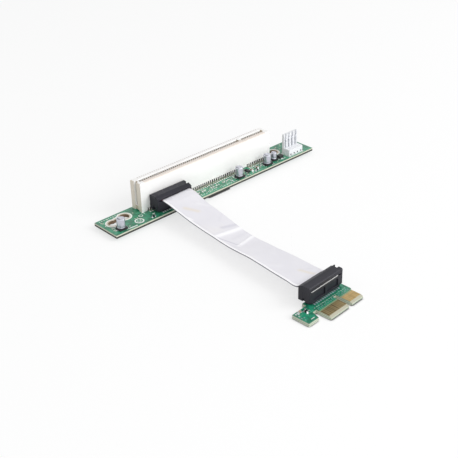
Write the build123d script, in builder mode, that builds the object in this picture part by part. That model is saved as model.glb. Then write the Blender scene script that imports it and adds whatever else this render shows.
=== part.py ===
from build123d import *
import math
import os

os.makedirs("parts", exist_ok=True)

# Riser card with an upright card slot, joined by a flat cable to a small edge card.
# X runs along the riser board, Y from the edge card back to the riser board, Z up.
# The origin is the middle of the model's footprint, on the surface that it lies on.

# Both circuit boards
board_thickness = 1.6
span = 125.0  # from the edge card's fingers to the riser board's back edge
pad_thickness = 0.05

# Riser board, measured from its left front corner
riser_length = 130.2
riser_width = 16.85
riser_lift = 1.5  # the chip underneath holds the board this far off the surface
lobe_radius = 2.3
lobe_places = [(5.85, 10.4), (13.2, 11.9)]
neck_width = 3.0
neck_fillet = 0.6
hole_radius = 2.4
hole_place = (riser_length - 18.8, 11.5)

# Card slot housing
slot_inset = 21.2
slot_setback = 8.6
slot_length = 84.84
slot_width = 7.4
slot_height = 14.8
slot_standoff = 0.15
slot_edge_chamfer = 0.35
foot_length = 3.0
arch_width = 3.2
arch_height = 0.7
card_slot_length = 80.2
card_slot_width = 1.9
card_slot_depth = 9.0
lead_in = 0.3
groove_width = 1.9
groove_depth = 1.3
ledge_height = 2.8
peg_radius = 1.1
peg_inset = 5.4
peg_length = 2.9
peg_clearance = 0.1

# Slot contacts
contact_pitch = 1.27
contact_positions = 62
key_positions = (50, 51)
key_width = 1.8
cavity_width = 0.75
cavity_depth = 1.65
cavity_lip = 0.7  # plain wall above the cavities
comb_height = 1.5  # from the board to the top of the openings for the contacts' feet
contact_width = 0.5
contact_thickness = 0.22
contact_foot_front = 1.9
contact_foot_rear = 0.6
contact_bulge = 0.2
contact_touch_depth = 3.0
contact_tip_depth = 1.1
contact_tip_setback = 0.4

# Cable connectors, the same at both ends, measured from the blind face
plug_length = 20.7
plug_depth = 5.9
plug_height = 8.2
plug_columns = 13
plug_pitch = 1.27
window_length = 6.9
window_rib = 1.3
window_height = 3.4
window_foot = 1.5
window_recess = 0.45
plug_chamfer = 0.4
top_depth = 4.0
bevel_height = 7.3
plug_end_wall = 1.0
relief_start = 3.65  # on the edge card's plug, from its middle
relief_depth = 1.3
relief_floor = 7.0
notch_width = 1.9
notch_depth = 1.0
notch_length = 1.2
latch_place = 2.95
latch_width = 1.4
latch_depth = 0.5
latch_drop = 3.2
latch_clearance = 0.05
riser_plug_inset = 36.35  # riser board's left end to the middle of its plug
riser_plug_gap = 0.3  # slot housing to the plug's blind face
riser_row_centre = 3.95  # middle of the pin rows, in front of the slot's feet
edge_row_centre = 1.83

# Pin headers under the plugs
header_length = 17.8
header_depth = 3.4
header_height = 1.0
header_foot_reach = 0.4
pin_width = 0.4
pin_height = 4.2
pin_foot_thickness = 0.2
socket_width = 0.7
socket_depth = 0.9
fork_width = 0.6
fork_thickness = 0.15
fork_notch_depth = 0.5
fork_bottom = 1.6

# Flat cable and its foil wrap
conductor_count = 26
conductor_pitch = 0.635
cable_thickness = 0.64
cable_height_in_plug = 6.0
cable_end_inset = 0.25
cable_overrun = 1.0  # extra length that is trimmed at each plug's blind face
riser_cable_shift = -0.65  # across the plug, where the cable leaves it
edge_cable_shift = -0.15
wrap_thickness = 0.1
wrap_clearance = 0.04
wrap_overhang = 0.2
wrap_end_gap = 1.2
straight_lead = 3.0
riser_end_bend = (9.0, 8.0)  # distance from the riser plug, and height
low_bends = [(42.0, 4.2), (50.0, 4.3), (66.0, 5.3)]
edge_end_bend = (8.5, 5.8)  # distance from the edge card's plug, and height
arc_share = 0.45

# Edge card, measured from the left front corner of its fingers
edge_card_x = -42.99
edge_card_yaw = 2.28
finger_length = 7.6
finger_left_width = 11.2
key_notch_width = 1.9
key_notch_depth = 8.25
finger_right_width = 7.2
shoulder_width = 0.75
shoulder_start = 6.7
edge_card_depth = 14.4
tab_reach = 9.0
tab_front = 3.65
tab_width = 5.7
tab_inner = 2.2
tab_back = 12.3
tab_step = 0.6
finger_bevel_length = 1.2
finger_bevel_depth = 0.4
finger_pad_width = 0.7
finger_pad_length = 4.3
finger_pad_front = 1.3
finger_pad_pitch = 1.0
finger_pad_inset = 0.65
finger_left_count = 11
finger_right_count = 7
edge_plug_place = (10.05, 10.9)

# Power header
power_place = (riser_length - 16.7, 1.3)
power_length = 10.1
power_depth = 4.6
power_height = 3.5
power_wall_thickness = 1.3
power_wall_overlap = 0.6
power_wall_height = 11.1
power_pins = 4
power_pitch = 2.5
power_pin_width = 0.64
power_pin_setback = 3.75
power_pin_top = 8.6
power_pin_bottom = 2.9
power_pin_chamfer = 0.16
power_groove_width = 1.3
power_groove_depth = 0.8
power_port_sill = 0.45
power_port_width = 0.9
power_port_height = 0.9
power_port_depth = 0.9
pin_hole_clearance = 0.1

# Can capacitors: place on the riser board, radius and height
cans = [
    ((5.6, 3.8), 2.0, 5.4),
    ((79.0, 3.25), 2.0, 5.4),
    ((riser_length - 31.0, 3.55), 2.0, 5.4),
    ((riser_length - 25.1, 4.5), 1.5, 4.3),
]
can_rim = 0.3
can_base_margin = 0.15
can_base_height = 0.9
can_base_corner = 0.8
can_bead_height = 1.5
can_bead_depth = 0.15
can_bead_width = 0.6
terminal_width = 0.7
terminal_reach = 0.5
terminal_inset = 1.0
terminal_thickness = 0.15

# Bridge chip under the riser board
chip_place_x = 63.6
chip_size = 14.0
chip_standoff = 0.1
chip_lead_count = 16
chip_lead_pitch = 0.8
chip_lead_width = 0.35
chip_lead_thickness = 0.15
chip_lead_span = 1.0
chip_lead_foot = 0.45
chip_lead_rise = 0.5
chip_lead_knee = 0.06
chip_chamfer = 0.25

# Small parts on the riser board: place, and turn about the vertical
regulator_place = (85.8, 4.6)
regulator_size = (1.6, 2.9, 1.0)
regulator_lead = (0.55, 0.4, 0.15)
regulator_lead_spread = 1.9
diode_place = (riser_length - 20.9, 4.0)
diode_size = (2.8, 2.2, 1.6)
diode_lead = (1.0, 0.45, 0.2)
riser_chip_capacitors = [(88.3, 4.0, 90), (92.3, 4.1, 90)]
riser_chip_resistors = [(90.3, 2.0, 0), (22.7, 1.9, 0)]
block_chamfer = 0.12
chip_part_length = 1.6
chip_part_width = 0.85
chip_part_height = 0.75
chip_part_end = 0.3
edge_chip_capacitors = [(-5.9, 11.2, 0)]
edge_chip_resistors = [(-3.9, 9.6, 90)]

# Levels and places that follow from the sizes above
riser_back = span / 2
riser_front = riser_back - riser_width
riser_corner = Plane(origin=(-riser_length / 2, riser_front, riser_lift))
riser_surface = riser_corner.offset(board_thickness)
slot_centre = (slot_inset + slot_length / 2, slot_setback + slot_width / 2)
slot_plane = Plane(origin=riser_surface.from_local_coords((*slot_centre, 0)))
slot_top = slot_plane.offset(slot_height)
slot_bottom = slot_plane.offset(slot_standoff)
edge_card_plane = Plane(origin=(edge_card_x, -span / 2, pad_thickness)).rotated((0, 0, edge_card_yaw))
edge_card_surface = edge_card_plane.offset(board_thickness)
riser_plug_origin = riser_surface.from_local_coords((riser_plug_inset, slot_setback - riser_plug_gap, 0))
riser_seat = Plane(origin=riser_plug_origin, x_dir=(-1, 0, 0), z_dir=(0, 0, 1))
edge_plug_origin = edge_card_surface.from_local_coords((*edge_plug_place, 0))
edge_seat = Plane(origin=edge_plug_origin, x_dir=edge_card_plane.x_dir, z_dir=(0, 0, 1))
contact_xs = [
    (position - (contact_positions + 1) / 2) * contact_pitch
    for position in range(1, contact_positions + 1)
    if position not in key_positions
]
key_x = (sum(key_positions) / 2 - (contact_positions + 1) / 2) * contact_pitch
power_pin_xs = [
    power_place[0] + power_length / 2 + (index - (power_pins - 1) / 2) * power_pitch
    for index in range(power_pins)
]
power_pin_y = power_place[1] + power_pin_setback


def save(piece, name):
    """Labels a finished piece and writes it as its own STEP file."""
    piece.part.label = name
    export_step(piece.part, f"parts/{name}.step")


def offset_path(path, distance):
    """Moves a path of straight runs to its left by the distance, with mitred corners."""
    moved = []
    for index, point in enumerate(path):
        here = Vector(*point)
        before = (here - Vector(*path[index - 1])).normalized() if index > 0 else None
        after = (Vector(*path[index + 1]) - here).normalized() if index < len(path) - 1 else None
        before = before or after
        after = after or before
        normals = Vector(-before.Y, before.X) + Vector(-after.Y, after.X)
        moved.append(here + normals * (distance / (1 + before.dot(after))))
    return moved


def strip_outline(path, thickness):
    """Closed outline of a bent metal strip that follows a path through its middle."""
    return offset_path(path, thickness / 2) + offset_path(path, -thickness / 2)[::-1]


# Riser board
with BuildPart() as riser_board:
    with BuildSketch(riser_corner):
        Rectangle(riser_length, riser_width, align=(Align.MIN, Align.MIN))
        lobe_middle = (Vector(*lobe_places[0]) + Vector(*lobe_places[1])) / 2
        lobe_gap = Vector(*lobe_places[1]) - Vector(*lobe_places[0])
        neck_turn = math.degrees(math.atan2(lobe_gap.Y, lobe_gap.X))
        with BuildSketch(mode=Mode.PRIVATE) as mounting_cutout:
            with Locations(*lobe_places):
                Circle(lobe_radius)
            with Locations(lobe_middle):
                Rectangle(lobe_gap.length, neck_width, rotation=neck_turn)
            fillet(mounting_cutout.vertices(), neck_fillet)
        add(mounting_cutout.sketch, mode=Mode.SUBTRACT)
        with Locations(hole_place):
            Circle(hole_radius, mode=Mode.SUBTRACT)
        with Locations(slot_centre):
            with GridLocations(slot_length - 2 * peg_inset, 0, 2, 1):
                Circle(peg_radius + peg_clearance, mode=Mode.SUBTRACT)
        with Locations(*[(x, power_pin_y) for x in power_pin_xs]):
            Circle(power_pin_width / math.sqrt(2) + pin_hole_clearance, mode=Mode.SUBTRACT)
    extrude(amount=board_thickness)
save(riser_board, "riser_board")

# Slot housing: a bar on two feet, with one cavity per contact that opens into the card slot
# and, as a comb along the bottom, to the outside
with BuildPart() as slot_housing:
    with BuildSketch(slot_bottom):
        Rectangle(slot_length, slot_width)
    extrude(amount=slot_height - slot_standoff)
    chamfer(slot_housing.faces().sort_by(Axis.Z)[-1].edges(), slot_edge_chamfer)
    with BuildSketch(slot_plane):
        with GridLocations(slot_length - foot_length, 0, 2, 1):
            Rectangle(foot_length, slot_width)
    extrude(amount=slot_standoff)
    with BuildSketch(slot_plane):
        with GridLocations(slot_length - foot_length, 0, 2, 1):
            Rectangle(foot_length, arch_width)
    extrude(amount=arch_height, mode=Mode.SUBTRACT)
    with BuildSketch(slot_bottom):
        with GridLocations(slot_length - 2 * peg_inset, 0, 2, 1):
            Circle(peg_radius)
    extrude(amount=-(slot_standoff + peg_length))
    with BuildSketch(slot_top):
        Rectangle(card_slot_length, card_slot_width)
        with Locations((key_x, 0)):
            Rectangle(key_width, card_slot_width, mode=Mode.SUBTRACT)
    extrude(amount=-card_slot_depth, mode=Mode.SUBTRACT)
    with BuildSketch(slot_top):
        Rectangle(card_slot_length + 2 * lead_in, card_slot_width + 2 * lead_in)
        with Locations((key_x, 0)):
            Rectangle(key_width, card_slot_width + 2 * lead_in, mode=Mode.SUBTRACT)
    extrude(amount=-lead_in, taper=45, mode=Mode.SUBTRACT)
    with BuildSketch(slot_top):
        with GridLocations(slot_length - groove_depth, 0, 2, 1):
            Rectangle(groove_depth, groove_width)
    extrude(amount=ledge_height - slot_height, mode=Mode.SUBTRACT)
    with BuildSketch(slot_bottom):
        with Locations(*[(x, 0) for x in contact_xs]):
            with GridLocations(0, card_slot_width + cavity_depth, 1, 2):
                Rectangle(cavity_width, cavity_depth)
    extrude(amount=slot_height - cavity_lip - slot_standoff, mode=Mode.SUBTRACT)
    with BuildSketch(slot_bottom):
        comb_reach = (slot_width - card_slot_width) / 2
        with Locations(*[(x, 0) for x in contact_xs]):
            with GridLocations(0, card_slot_width + comb_reach, 1, 2):
                Rectangle(cavity_width, comb_reach)
    extrude(amount=comb_height - slot_standoff, mode=Mode.SUBTRACT)
save(slot_housing, "slot_housing")


def slot_contacts(foot_reach, turn):
    """One row of slot contacts, each a strip from its foot on the board to the card slot."""
    slot_side = card_slot_width / 2
    route = [
        (slot_width / 2 + foot_reach, contact_thickness / 2),
        (slot_side + cavity_depth / 2, contact_thickness / 2),
        (slot_side - contact_bulge, slot_height - contact_touch_depth),
        (slot_side + contact_tip_setback, slot_height - contact_tip_depth),
    ]
    with BuildPart() as contact:
        with BuildSketch(Plane.YZ):
            with BuildLine():
                Polyline(*strip_outline(route, contact_thickness), close=True)
            make_face()
        extrude(amount=contact_width / 2, both=True)
    with BuildPart(slot_plane) as row:
        with Locations(*[(x, 0) for x in contact_xs]):
            add(contact.part, rotation=(0, 0, turn))
    return row


save(slot_contacts(contact_foot_front, 180), "slot_contacts_front")
save(slot_contacts(contact_foot_rear, 0), "slot_contacts_rear")


def header_base(seat, row_centre):
    """Insulator strip of the pin header, held off the board by the pins' feet."""
    with BuildPart() as base:
        with BuildSketch(seat.offset(pin_foot_thickness)):
            with Locations((0, row_centre)):
                Rectangle(header_length, header_depth)
                with GridLocations(plug_pitch, plug_pitch, plug_columns, 2):
                    Rectangle(pin_width, pin_width, mode=Mode.SUBTRACT)
        extrude(amount=header_height - pin_foot_thickness)
    return base


def header_pins(seat, row_centre):
    """Two rows of square pins whose feet turn outwards on the board."""
    foot_end = header_depth / 2 - plug_pitch / 2 + header_foot_reach
    with BuildPart() as pin:
        with BuildSketch(Plane.YZ):
            with BuildLine():
                Polyline(
                    (-pin_width / 2, 0),
                    (foot_end, 0),
                    (foot_end, pin_foot_thickness),
                    (pin_width / 2, pin_foot_thickness),
                    (pin_width / 2, pin_height),
                    (-pin_width / 2, pin_height),
                    close=True,
                )
            make_face()
        extrude(amount=pin_width / 2, both=True)
    with BuildPart(seat) as pins:
        for side, turn in ((1, 0), (-1, 180)):
            with Locations((0, row_centre + side * plug_pitch / 2)):
                with GridLocations(plug_pitch, 0, plug_columns, 1):
                    add(pin.part, rotation=(0, 0, turn))
    return pins


def plug_body(seat, row_centre):
    """Lower half of the cable plug, with one socket through it for each pin."""
    body_top = cable_height_in_plug - cable_thickness / 2
    face = Plane(origin=seat.origin, x_dir=seat.x_dir, z_dir=-seat.y_dir)
    with BuildPart() as body:
        with BuildSketch(seat.offset(header_height)):
            with Locations((0, plug_depth / 2)):
                Rectangle(plug_length, plug_depth)
            with Locations((0, row_centre)):
                with GridLocations(plug_pitch, plug_pitch, plug_columns, 2):
                    Rectangle(socket_width, socket_depth, mode=Mode.SUBTRACT)
            with Locations((0, latch_place)):
                with GridLocations(plug_length - latch_depth, 0, 2, 1):
                    Rectangle(latch_depth, latch_width, mode=Mode.SUBTRACT)
        extrude(amount=body_top - header_height)
        with BuildSketch(face):
            with Locations((0, window_foot + window_height / 2)):
                with GridLocations(window_length + window_rib, 0, 2, 1):
                    Rectangle(window_length, window_height)
        extrude(amount=-window_recess, mode=Mode.SUBTRACT)
    return body


def plug_cover(seat, notched_side, relieved):
    """Bar that clamps the cable on the plug body, with end blocks and two latch legs.

    The notch over one latch is at the notched side, 1 or -1 along the seat's X, and a relieved
    cover is cut lower along part of its open face.
    """
    body_top = cable_height_in_plug - cable_thickness / 2
    bar_bottom = cable_height_in_plug + cable_thickness / 2
    section = Plane(origin=seat.origin, x_dir=seat.y_dir, z_dir=seat.x_dir)
    with BuildPart() as cover:
        with BuildSketch(section):
            with BuildLine():
                Polyline(
                    (0, bar_bottom),
                    (plug_depth, bar_bottom),
                    (plug_depth, bevel_height),
                    (top_depth, plug_height),
                    (plug_chamfer, plug_height),
                    (0, plug_height - plug_chamfer),
                    close=True,
                )
            make_face()
        extrude(amount=plug_length / 2, both=True)
        with BuildSketch(seat.offset(body_top)):
            with Locations((0, plug_depth / 2)):
                with GridLocations(plug_length - plug_end_wall, 0, 2, 1):
                    Rectangle(plug_end_wall, plug_depth)
        extrude(amount=cable_thickness)
        with BuildSketch(seat.offset(plug_height)):
            with Locations((notched_side * (plug_length - notch_length) / 2, latch_place)):
                Rectangle(notch_length, notch_width)
        extrude(amount=-notch_depth, mode=Mode.SUBTRACT)
        if relieved:
            with BuildSketch(seat.offset(plug_height)):
                with Locations((relief_start, plug_depth)):
                    Rectangle(plug_length / 2 - relief_start, relief_depth, align=(Align.MIN, Align.MAX))
            extrude(amount=relief_floor - plug_height, mode=Mode.SUBTRACT)
        with BuildSketch(seat.offset(body_top)):
            with Locations((0, latch_place)):
                with GridLocations(plug_length - latch_depth + latch_clearance, 0, 2, 1):
                    Rectangle(latch_depth - latch_clearance, latch_width - 2 * latch_clearance)
        extrude(amount=-latch_drop)
    return cover


def plug_contacts(seat, row_centre):
    """Forked contacts in the plug's sockets, each from its pin up to the cable."""
    fork_top = cable_height_in_plug - cable_thickness / 2
    with BuildPart() as fork:
        with BuildSketch(Plane.XZ):
            with BuildLine():
                Polyline(
                    (-fork_width / 2, fork_bottom),
                    (fork_width / 2, fork_bottom),
                    (fork_width / 2, fork_top),
                    (0, fork_top - fork_notch_depth),
                    (-fork_width / 2, fork_top),
                    close=True,
                )
            make_face()
        extrude(amount=-fork_thickness)
    with BuildPart(seat) as forks:
        with Locations((0, row_centre + pin_width / 2)):
            with GridLocations(plug_pitch, plug_pitch, plug_columns, 2):
                add(fork.part)
    return forks


connector_ends = (
    ("riser", riser_seat, riser_row_centre, -1, False),
    ("edge", edge_seat, edge_row_centre, 1, True),
)
for end, seat, row_centre, notched_side, relieved in connector_ends:
    save(header_base(seat, row_centre), f"{end}_header_base")
    save(header_pins(seat, row_centre), f"{end}_header_pins")
    save(plug_body(seat, row_centre), f"{end}_plug_body")
    save(plug_cover(seat, notched_side, relieved), f"{end}_plug_cover")
    save(plug_contacts(seat, row_centre), f"{end}_plug_contacts")

# The cable runs in one upright plane from the riser plug's open face to the edge card's
cable_start = riser_seat.from_local_coords((riser_cable_shift, plug_depth, cable_height_in_plug))
cable_end = edge_seat.from_local_coords((edge_cable_shift, plug_depth, cable_height_in_plug))
cable_level = Vector(cable_end.X - cable_start.X, cable_end.Y - cable_start.Y)
cable_direction = cable_level.normalized()
cable_plane = Plane(
    origin=(cable_start.X, cable_start.Y, 0),
    x_dir=cable_direction,
    z_dir=cable_direction.cross(Vector(0, 0, 1)),
)
cable_width = conductor_count * conductor_pitch
cable_bends = [
    (straight_lead, cable_start.Z),
    riser_end_bend,
    *low_bends,
    (cable_level.length - edge_end_bend[0], edge_end_bend[1]),
    (cable_level.length - straight_lead, cable_end.Z),
]


def cable_route(overrun):
    """Side view of the cable's middle, from past one plug's open face to past the other's."""
    first = (-overrun, cable_start.Z)
    last = (cable_level.length + overrun, cable_end.Z)
    return [first, *cable_bends, last]


def bend_radii():
    """Radius of each bend at the cable's middle, as large as its runs allow."""
    route = [Vector(*point) for point in cable_route(0)]
    radii = []
    for before, corner, after in zip(route, route[1:], route[2:]):
        turn = math.radians((corner - before).get_angle(after - corner))
        shorter = min((corner - before).length, (after - corner).length)
        radii.append(arc_share * shorter / math.tan(turn / 2))
    return radii


def cable_side_line(overrun, distance):
    """The cable's route moved to its left by the distance, with round bends."""
    route = [Vector(*point) for point in cable_route(overrun)]
    radii = []
    for radius, before, corner, after in zip(bend_radii(), route, route[1:], route[2:]):
        left_turn = (corner - before).cross(after - corner).Z > 0
        radii.append(radius - distance if left_turn else radius + distance)
    return FilletPolyline(*offset_path(cable_route(overrun), distance), radius=radii)


def cable_band(overrun, thickness, width, mode):
    """A band that follows the cable's route, of the given thickness and width."""
    with BuildSketch(cable_plane) as side_view:
        with BuildLine():
            upper = cable_side_line(overrun, thickness / 2)
            lower = cable_side_line(overrun, -thickness / 2)
            Line(upper @ 0, lower @ 0)
            Line(upper @ 1, lower @ 1)
        make_face()
    extrude(side_view.sketch, amount=width / 2, both=True, mode=mode)


print("cable bend radii", [round(radius, 1) for radius in bend_radii()])

# Flat cable, cut off just inside each plug's blind face
riser_cut = Plane(origin=riser_seat.origin + riser_seat.y_dir * cable_end_inset, z_dir=riser_seat.y_dir)
edge_cut = Plane(origin=edge_seat.origin + edge_seat.y_dir * cable_end_inset, z_dir=edge_seat.y_dir)
with BuildPart() as flat_cable:
    cable_band(plug_depth + cable_overrun, cable_thickness, cable_width, Mode.ADD)
    split(bisect_by=riser_cut, keep=Keep.TOP)
    split(bisect_by=edge_cut, keep=Keep.TOP)
save(flat_cable, "flat_cable")

# Foil wrap around the free length of the cable
with BuildPart() as foil_wrap:
    sleeve_bore = cable_thickness + 2 * wrap_clearance
    cable_band(
        -wrap_end_gap,
        sleeve_bore + 2 * wrap_thickness,
        cable_width + 2 * wrap_overhang,
        Mode.ADD,
    )
    cable_band(0, sleeve_bore, cable_width + 2 * wrap_clearance, Mode.SUBTRACT)
save(foil_wrap, "foil_wrap")

# Edge card: two groups of fingers with the key notch between them, and a side tab
key_notch_end = finger_left_width + key_notch_width
fingers_right = key_notch_end + finger_right_width
with BuildPart() as edge_card:
    with BuildSketch(edge_card_plane):
        with BuildLine():
            Polyline(
                (0, 0),
                (fingers_right, 0),
                (fingers_right, shoulder_start),
                (fingers_right + shoulder_width, shoulder_start),
                (fingers_right + shoulder_width, edge_card_depth),
                (-tab_step, edge_card_depth),
                (-tab_step, tab_back),
                (-tab_reach, tab_back),
                (-tab_reach, tab_front),
                (tab_width - tab_reach, tab_front),
                (-tab_inner, finger_length),
                (0, finger_length),
                close=True,
            )
        make_face()
        with Locations((finger_left_width, 0)):
            Rectangle(
                key_notch_width,
                key_notch_depth,
                align=(Align.MIN, Align.MIN),
                mode=Mode.SUBTRACT,
            )
    extrude(amount=board_thickness)
    edge_section = Plane(
        origin=edge_card_plane.origin,
        x_dir=edge_card_plane.y_dir,
        z_dir=edge_card_plane.x_dir,
    )
    with BuildSketch(edge_section):
        for level, inward in ((0, 1), (board_thickness, -1)):
            with BuildLine():
                Polyline(
                    (0, level),
                    (finger_bevel_length, level),
                    (0, level + inward * finger_bevel_depth),
                    close=True,
                )
            make_face()
    extrude(amount=fingers_right, mode=Mode.SUBTRACT)
save(edge_card, "edge_card")


def finger_pads(plane):
    """The gold pads on one side of the edge card."""
    left_pads = [finger_pad_inset + index * finger_pad_pitch for index in range(finger_left_count)]
    right_pads = [
        key_notch_end + finger_pad_inset + index * finger_pad_pitch
        for index in range(finger_right_count)
    ]
    with BuildPart() as pads:
        with BuildSketch(plane):
            with Locations(*[(u, finger_pad_front) for u in left_pads + right_pads]):
                Rectangle(finger_pad_width, finger_pad_length, align=(Align.CENTER, Align.MIN))
        extrude(amount=pad_thickness)
    return pads


save(finger_pads(edge_card_surface), "finger_pads_top")
save(finger_pads(edge_card_plane.offset(-pad_thickness)), "finger_pads_bottom")

# Power header: a low base with a grooved wall behind its pins
power_plane = Plane(origin=riser_surface.from_local_coords((*power_place, 0)))
local_pin_xs = [x - power_place[0] for x in power_pin_xs]
with BuildPart() as power_header:
    with BuildSketch(power_plane):
        Rectangle(power_length, power_depth, align=(Align.MIN, Align.MIN))
    extrude(amount=power_height)
    with BuildSketch(power_plane):
        with Locations((0, power_depth - power_wall_overlap)):
            Rectangle(power_length, power_wall_thickness, align=(Align.MIN, Align.MIN))
    extrude(amount=power_wall_height)
    with BuildSketch(power_plane.offset(power_height)):
        with Locations(*[(x, power_depth - power_wall_overlap) for x in local_pin_xs]):
            Rectangle(power_groove_width, power_groove_depth, align=(Align.CENTER, Align.MIN))
    extrude(amount=power_wall_height - power_height, mode=Mode.SUBTRACT)
    with BuildSketch(power_plane):
        with Locations(*[(x, power_pin_setback) for x in local_pin_xs]):
            Rectangle(power_pin_width, power_pin_width)
    extrude(amount=power_height, mode=Mode.SUBTRACT)
    with BuildSketch(power_plane.offset(power_port_sill)):
        with Locations(*[(x, 0) for x in local_pin_xs]):
            Rectangle(power_port_width, power_port_depth, align=(Align.CENTER, Align.MIN))
    extrude(amount=power_port_height, mode=Mode.SUBTRACT)
save(power_header, "power_header")

with BuildPart() as power_header_pins:
    with BuildSketch(power_plane.offset(-power_pin_bottom)):
        with Locations(*[(x, power_pin_setback) for x in local_pin_xs]):
            Rectangle(power_pin_width, power_pin_width)
    extrude(amount=power_pin_bottom + power_pin_top)
    chamfer(power_header_pins.faces().group_by(Axis.Z)[-1].edges(), power_pin_chamfer)
save(power_header_pins, "power_header_pins")


def capacitor_base(plane, radius):
    """Square plastic base with two cut corners, grooved below for the terminals."""
    half = radius + can_base_margin
    with BuildPart() as base:
        with BuildSketch(plane):
            with BuildLine():
                Polyline(
                    (-half, -half),
                    (half, -half),
                    (half, half - can_base_corner),
                    (half - can_base_corner, half),
                    (can_base_corner - half, half),
                    (-half, half - can_base_corner),
                    close=True,
                )
            make_face()
        extrude(amount=can_base_height)
        with BuildSketch(plane):
            with GridLocations(2 * half - terminal_inset, 0, 2, 1):
                Rectangle(terminal_inset, terminal_width)
        extrude(amount=terminal_thickness, mode=Mode.SUBTRACT)
    return base


def capacitor_can(plane, radius, height):
    """Round can with a rolled bead above the base and a broken rim, as a turned profile."""
    section = Plane(origin=plane.origin, x_dir=plane.x_dir, z_dir=-plane.y_dir)
    with BuildPart() as can:
        with BuildSketch(section):
            with BuildLine():
                Polyline(
                    (0, can_base_height),
                    (radius, can_base_height),
                    (radius, can_bead_height - can_bead_width / 2),
                    (radius - can_bead_depth, can_bead_height),
                    (radius, can_bead_height + can_bead_width / 2),
                    (radius, height - can_rim),
                    (radius - can_rim, height),
                    (0, height),
                    close=True,
                )
            make_face()
        revolve(axis=Axis(plane.origin, (0, 0, 1)))
    return can


def capacitor_terminals(plane, radius):
    """Two flat tabs that leave the base at the board's surface."""
    tab = terminal_inset + terminal_reach
    tab_spacing = 2 * (radius + can_base_margin + terminal_reach) - tab
    with BuildPart() as terminals:
        with BuildSketch(plane):
            with GridLocations(tab_spacing, 0, 2, 1):
                Rectangle(tab, terminal_width)
        extrude(amount=terminal_thickness)
    return terminals


for number, (place, radius, height) in enumerate(cans, start=1):
    can_plane = Plane(origin=riser_surface.from_local_coords((*place, 0)))
    save(capacitor_base(can_plane, radius), f"capacitor_{number}_base")
    save(capacitor_can(can_plane, radius, height), f"capacitor_{number}_can")
    save(capacitor_terminals(can_plane, radius), f"capacitor_{number}_terminals")

# Bridge chip, hanging under the riser board and resting on the surface below
chip_centre = riser_corner.from_local_coords((chip_place_x, riser_width / 2, 0))
chip_plane = Plane(origin=chip_centre, x_dir=(1, 0, 0), z_dir=(0, 0, -1))
with BuildPart() as bridge_chip:
    with BuildSketch(chip_plane.offset(chip_standoff)):
        Rectangle(chip_size, chip_size)
    extrude(amount=riser_lift - chip_standoff)
    chamfer(bridge_chip.faces().sort_by(Axis.Z)[0].edges(), chip_chamfer)
save(bridge_chip, "bridge_chip")

lead_root = chip_size / 2
lead_end = lead_root + chip_lead_span
foot_start = lead_end - chip_lead_foot
with BuildPart() as chip_lead:
    with BuildSketch(Plane.YZ):
        with BuildLine():
            Polyline(
                (lead_root, chip_lead_rise),
                (foot_start, 0),
                (lead_end, 0),
                (lead_end, chip_lead_thickness),
                (foot_start + chip_lead_knee, chip_lead_thickness),
                (lead_root, chip_lead_rise + chip_lead_thickness + chip_lead_knee),
                close=True,
            )
        make_face()
    extrude(amount=chip_lead_width / 2, both=True)
with BuildPart() as lead_row:
    with GridLocations(chip_lead_pitch, 0, chip_lead_count, 1):
        add(chip_lead.part)
with BuildPart(chip_plane) as bridge_chip_leads:
    for turn in (0, 90, 180, 270):
        add(lead_row.part, rotation=(0, 0, turn))
save(bridge_chip_leads, "bridge_chip_leads")


def small_block(plane, size):
    """A moulded part's body, standing on the board, with its upper edges broken."""
    with BuildPart() as body:
        with BuildSketch(plane):
            Rectangle(size[0], size[1])
        extrude(amount=size[2])
        chamfer(body.faces().sort_by(Axis.Z)[-1].edges(), block_chamfer)
    return body


# Regulator with one lead at the back and two in front
regulator_plane = Plane(origin=riser_surface.from_local_coords((*regulator_place, 0)))
save(small_block(regulator_plane, regulator_size), "regulator_body")
with BuildPart() as regulator_leads:
    with BuildSketch(regulator_plane):
        lead_x = (regulator_size[0] + regulator_lead[0]) / 2
        lead_y = regulator_lead_spread / 2
        with Locations((-lead_x, -lead_y), (-lead_x, lead_y), (lead_x, 0)):
            Rectangle(regulator_lead[0], regulator_lead[1])
    extrude(amount=regulator_lead[2])
save(regulator_leads, "regulator_leads")

# Diode with a flat tab at each end
diode_plane = Plane(origin=riser_surface.from_local_coords((*diode_place, 0)))
save(small_block(diode_plane, diode_size), "diode_body")
with BuildPart() as diode_leads:
    with BuildSketch(diode_plane):
        with GridLocations(0, diode_size[1] + diode_lead[1], 1, 2):
            Rectangle(diode_lead[0], diode_lead[1])
    extrude(amount=diode_lead[2])
save(diode_leads, "diode_leads")


def chip_part_bodies(surface, places):
    """The bodies of chip resistors or capacitors, between their end caps."""
    with BuildPart() as bodies:
        for u, v, turn in places:
            with BuildSketch(surface):
                with Locations(Location((u, v), turn)):
                    Rectangle(chip_part_length - 2 * chip_part_end, chip_part_width)
            extrude(amount=chip_part_height)
    return bodies


def chip_part_ends(surface, places):
    """The soldered end caps of chip resistors or capacitors."""
    with BuildPart() as ends:
        for u, v, turn in places:
            with BuildSketch(surface):
                with Locations(Location((u, v), turn)):
                    with GridLocations(chip_part_length - chip_part_end, 0, 2, 1):
                        Rectangle(chip_part_end, chip_part_width)
            extrude(amount=chip_part_height)
    return ends


chip_groups = (
    ("riser_chip_capacitor", riser_surface, riser_chip_capacitors),
    ("riser_chip_resistor", riser_surface, riser_chip_resistors),
    ("edge_chip_capacitor", edge_card_surface, edge_chip_capacitors),
    ("edge_chip_resistor", edge_card_surface, edge_chip_resistors),
)
for group_name, surface, places in chip_groups:
    save(chip_part_bodies(surface, places), f"{group_name}_bodies")
    save(chip_part_ends(surface, places), f"{group_name}_ends")
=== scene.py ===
"""Riser card with an upright card slot and a foil-wrapped cable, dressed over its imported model.

Lengths in this file are millimetres in the model's own frame until a mesh or a lamp is made.
"""
import logging
import math
from abc import ABC, abstractmethod
from collections.abc import Sequence
from dataclasses import dataclass, field
from enum import Enum
from functools import cached_property, reduce
from typing import Optional, Union

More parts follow.
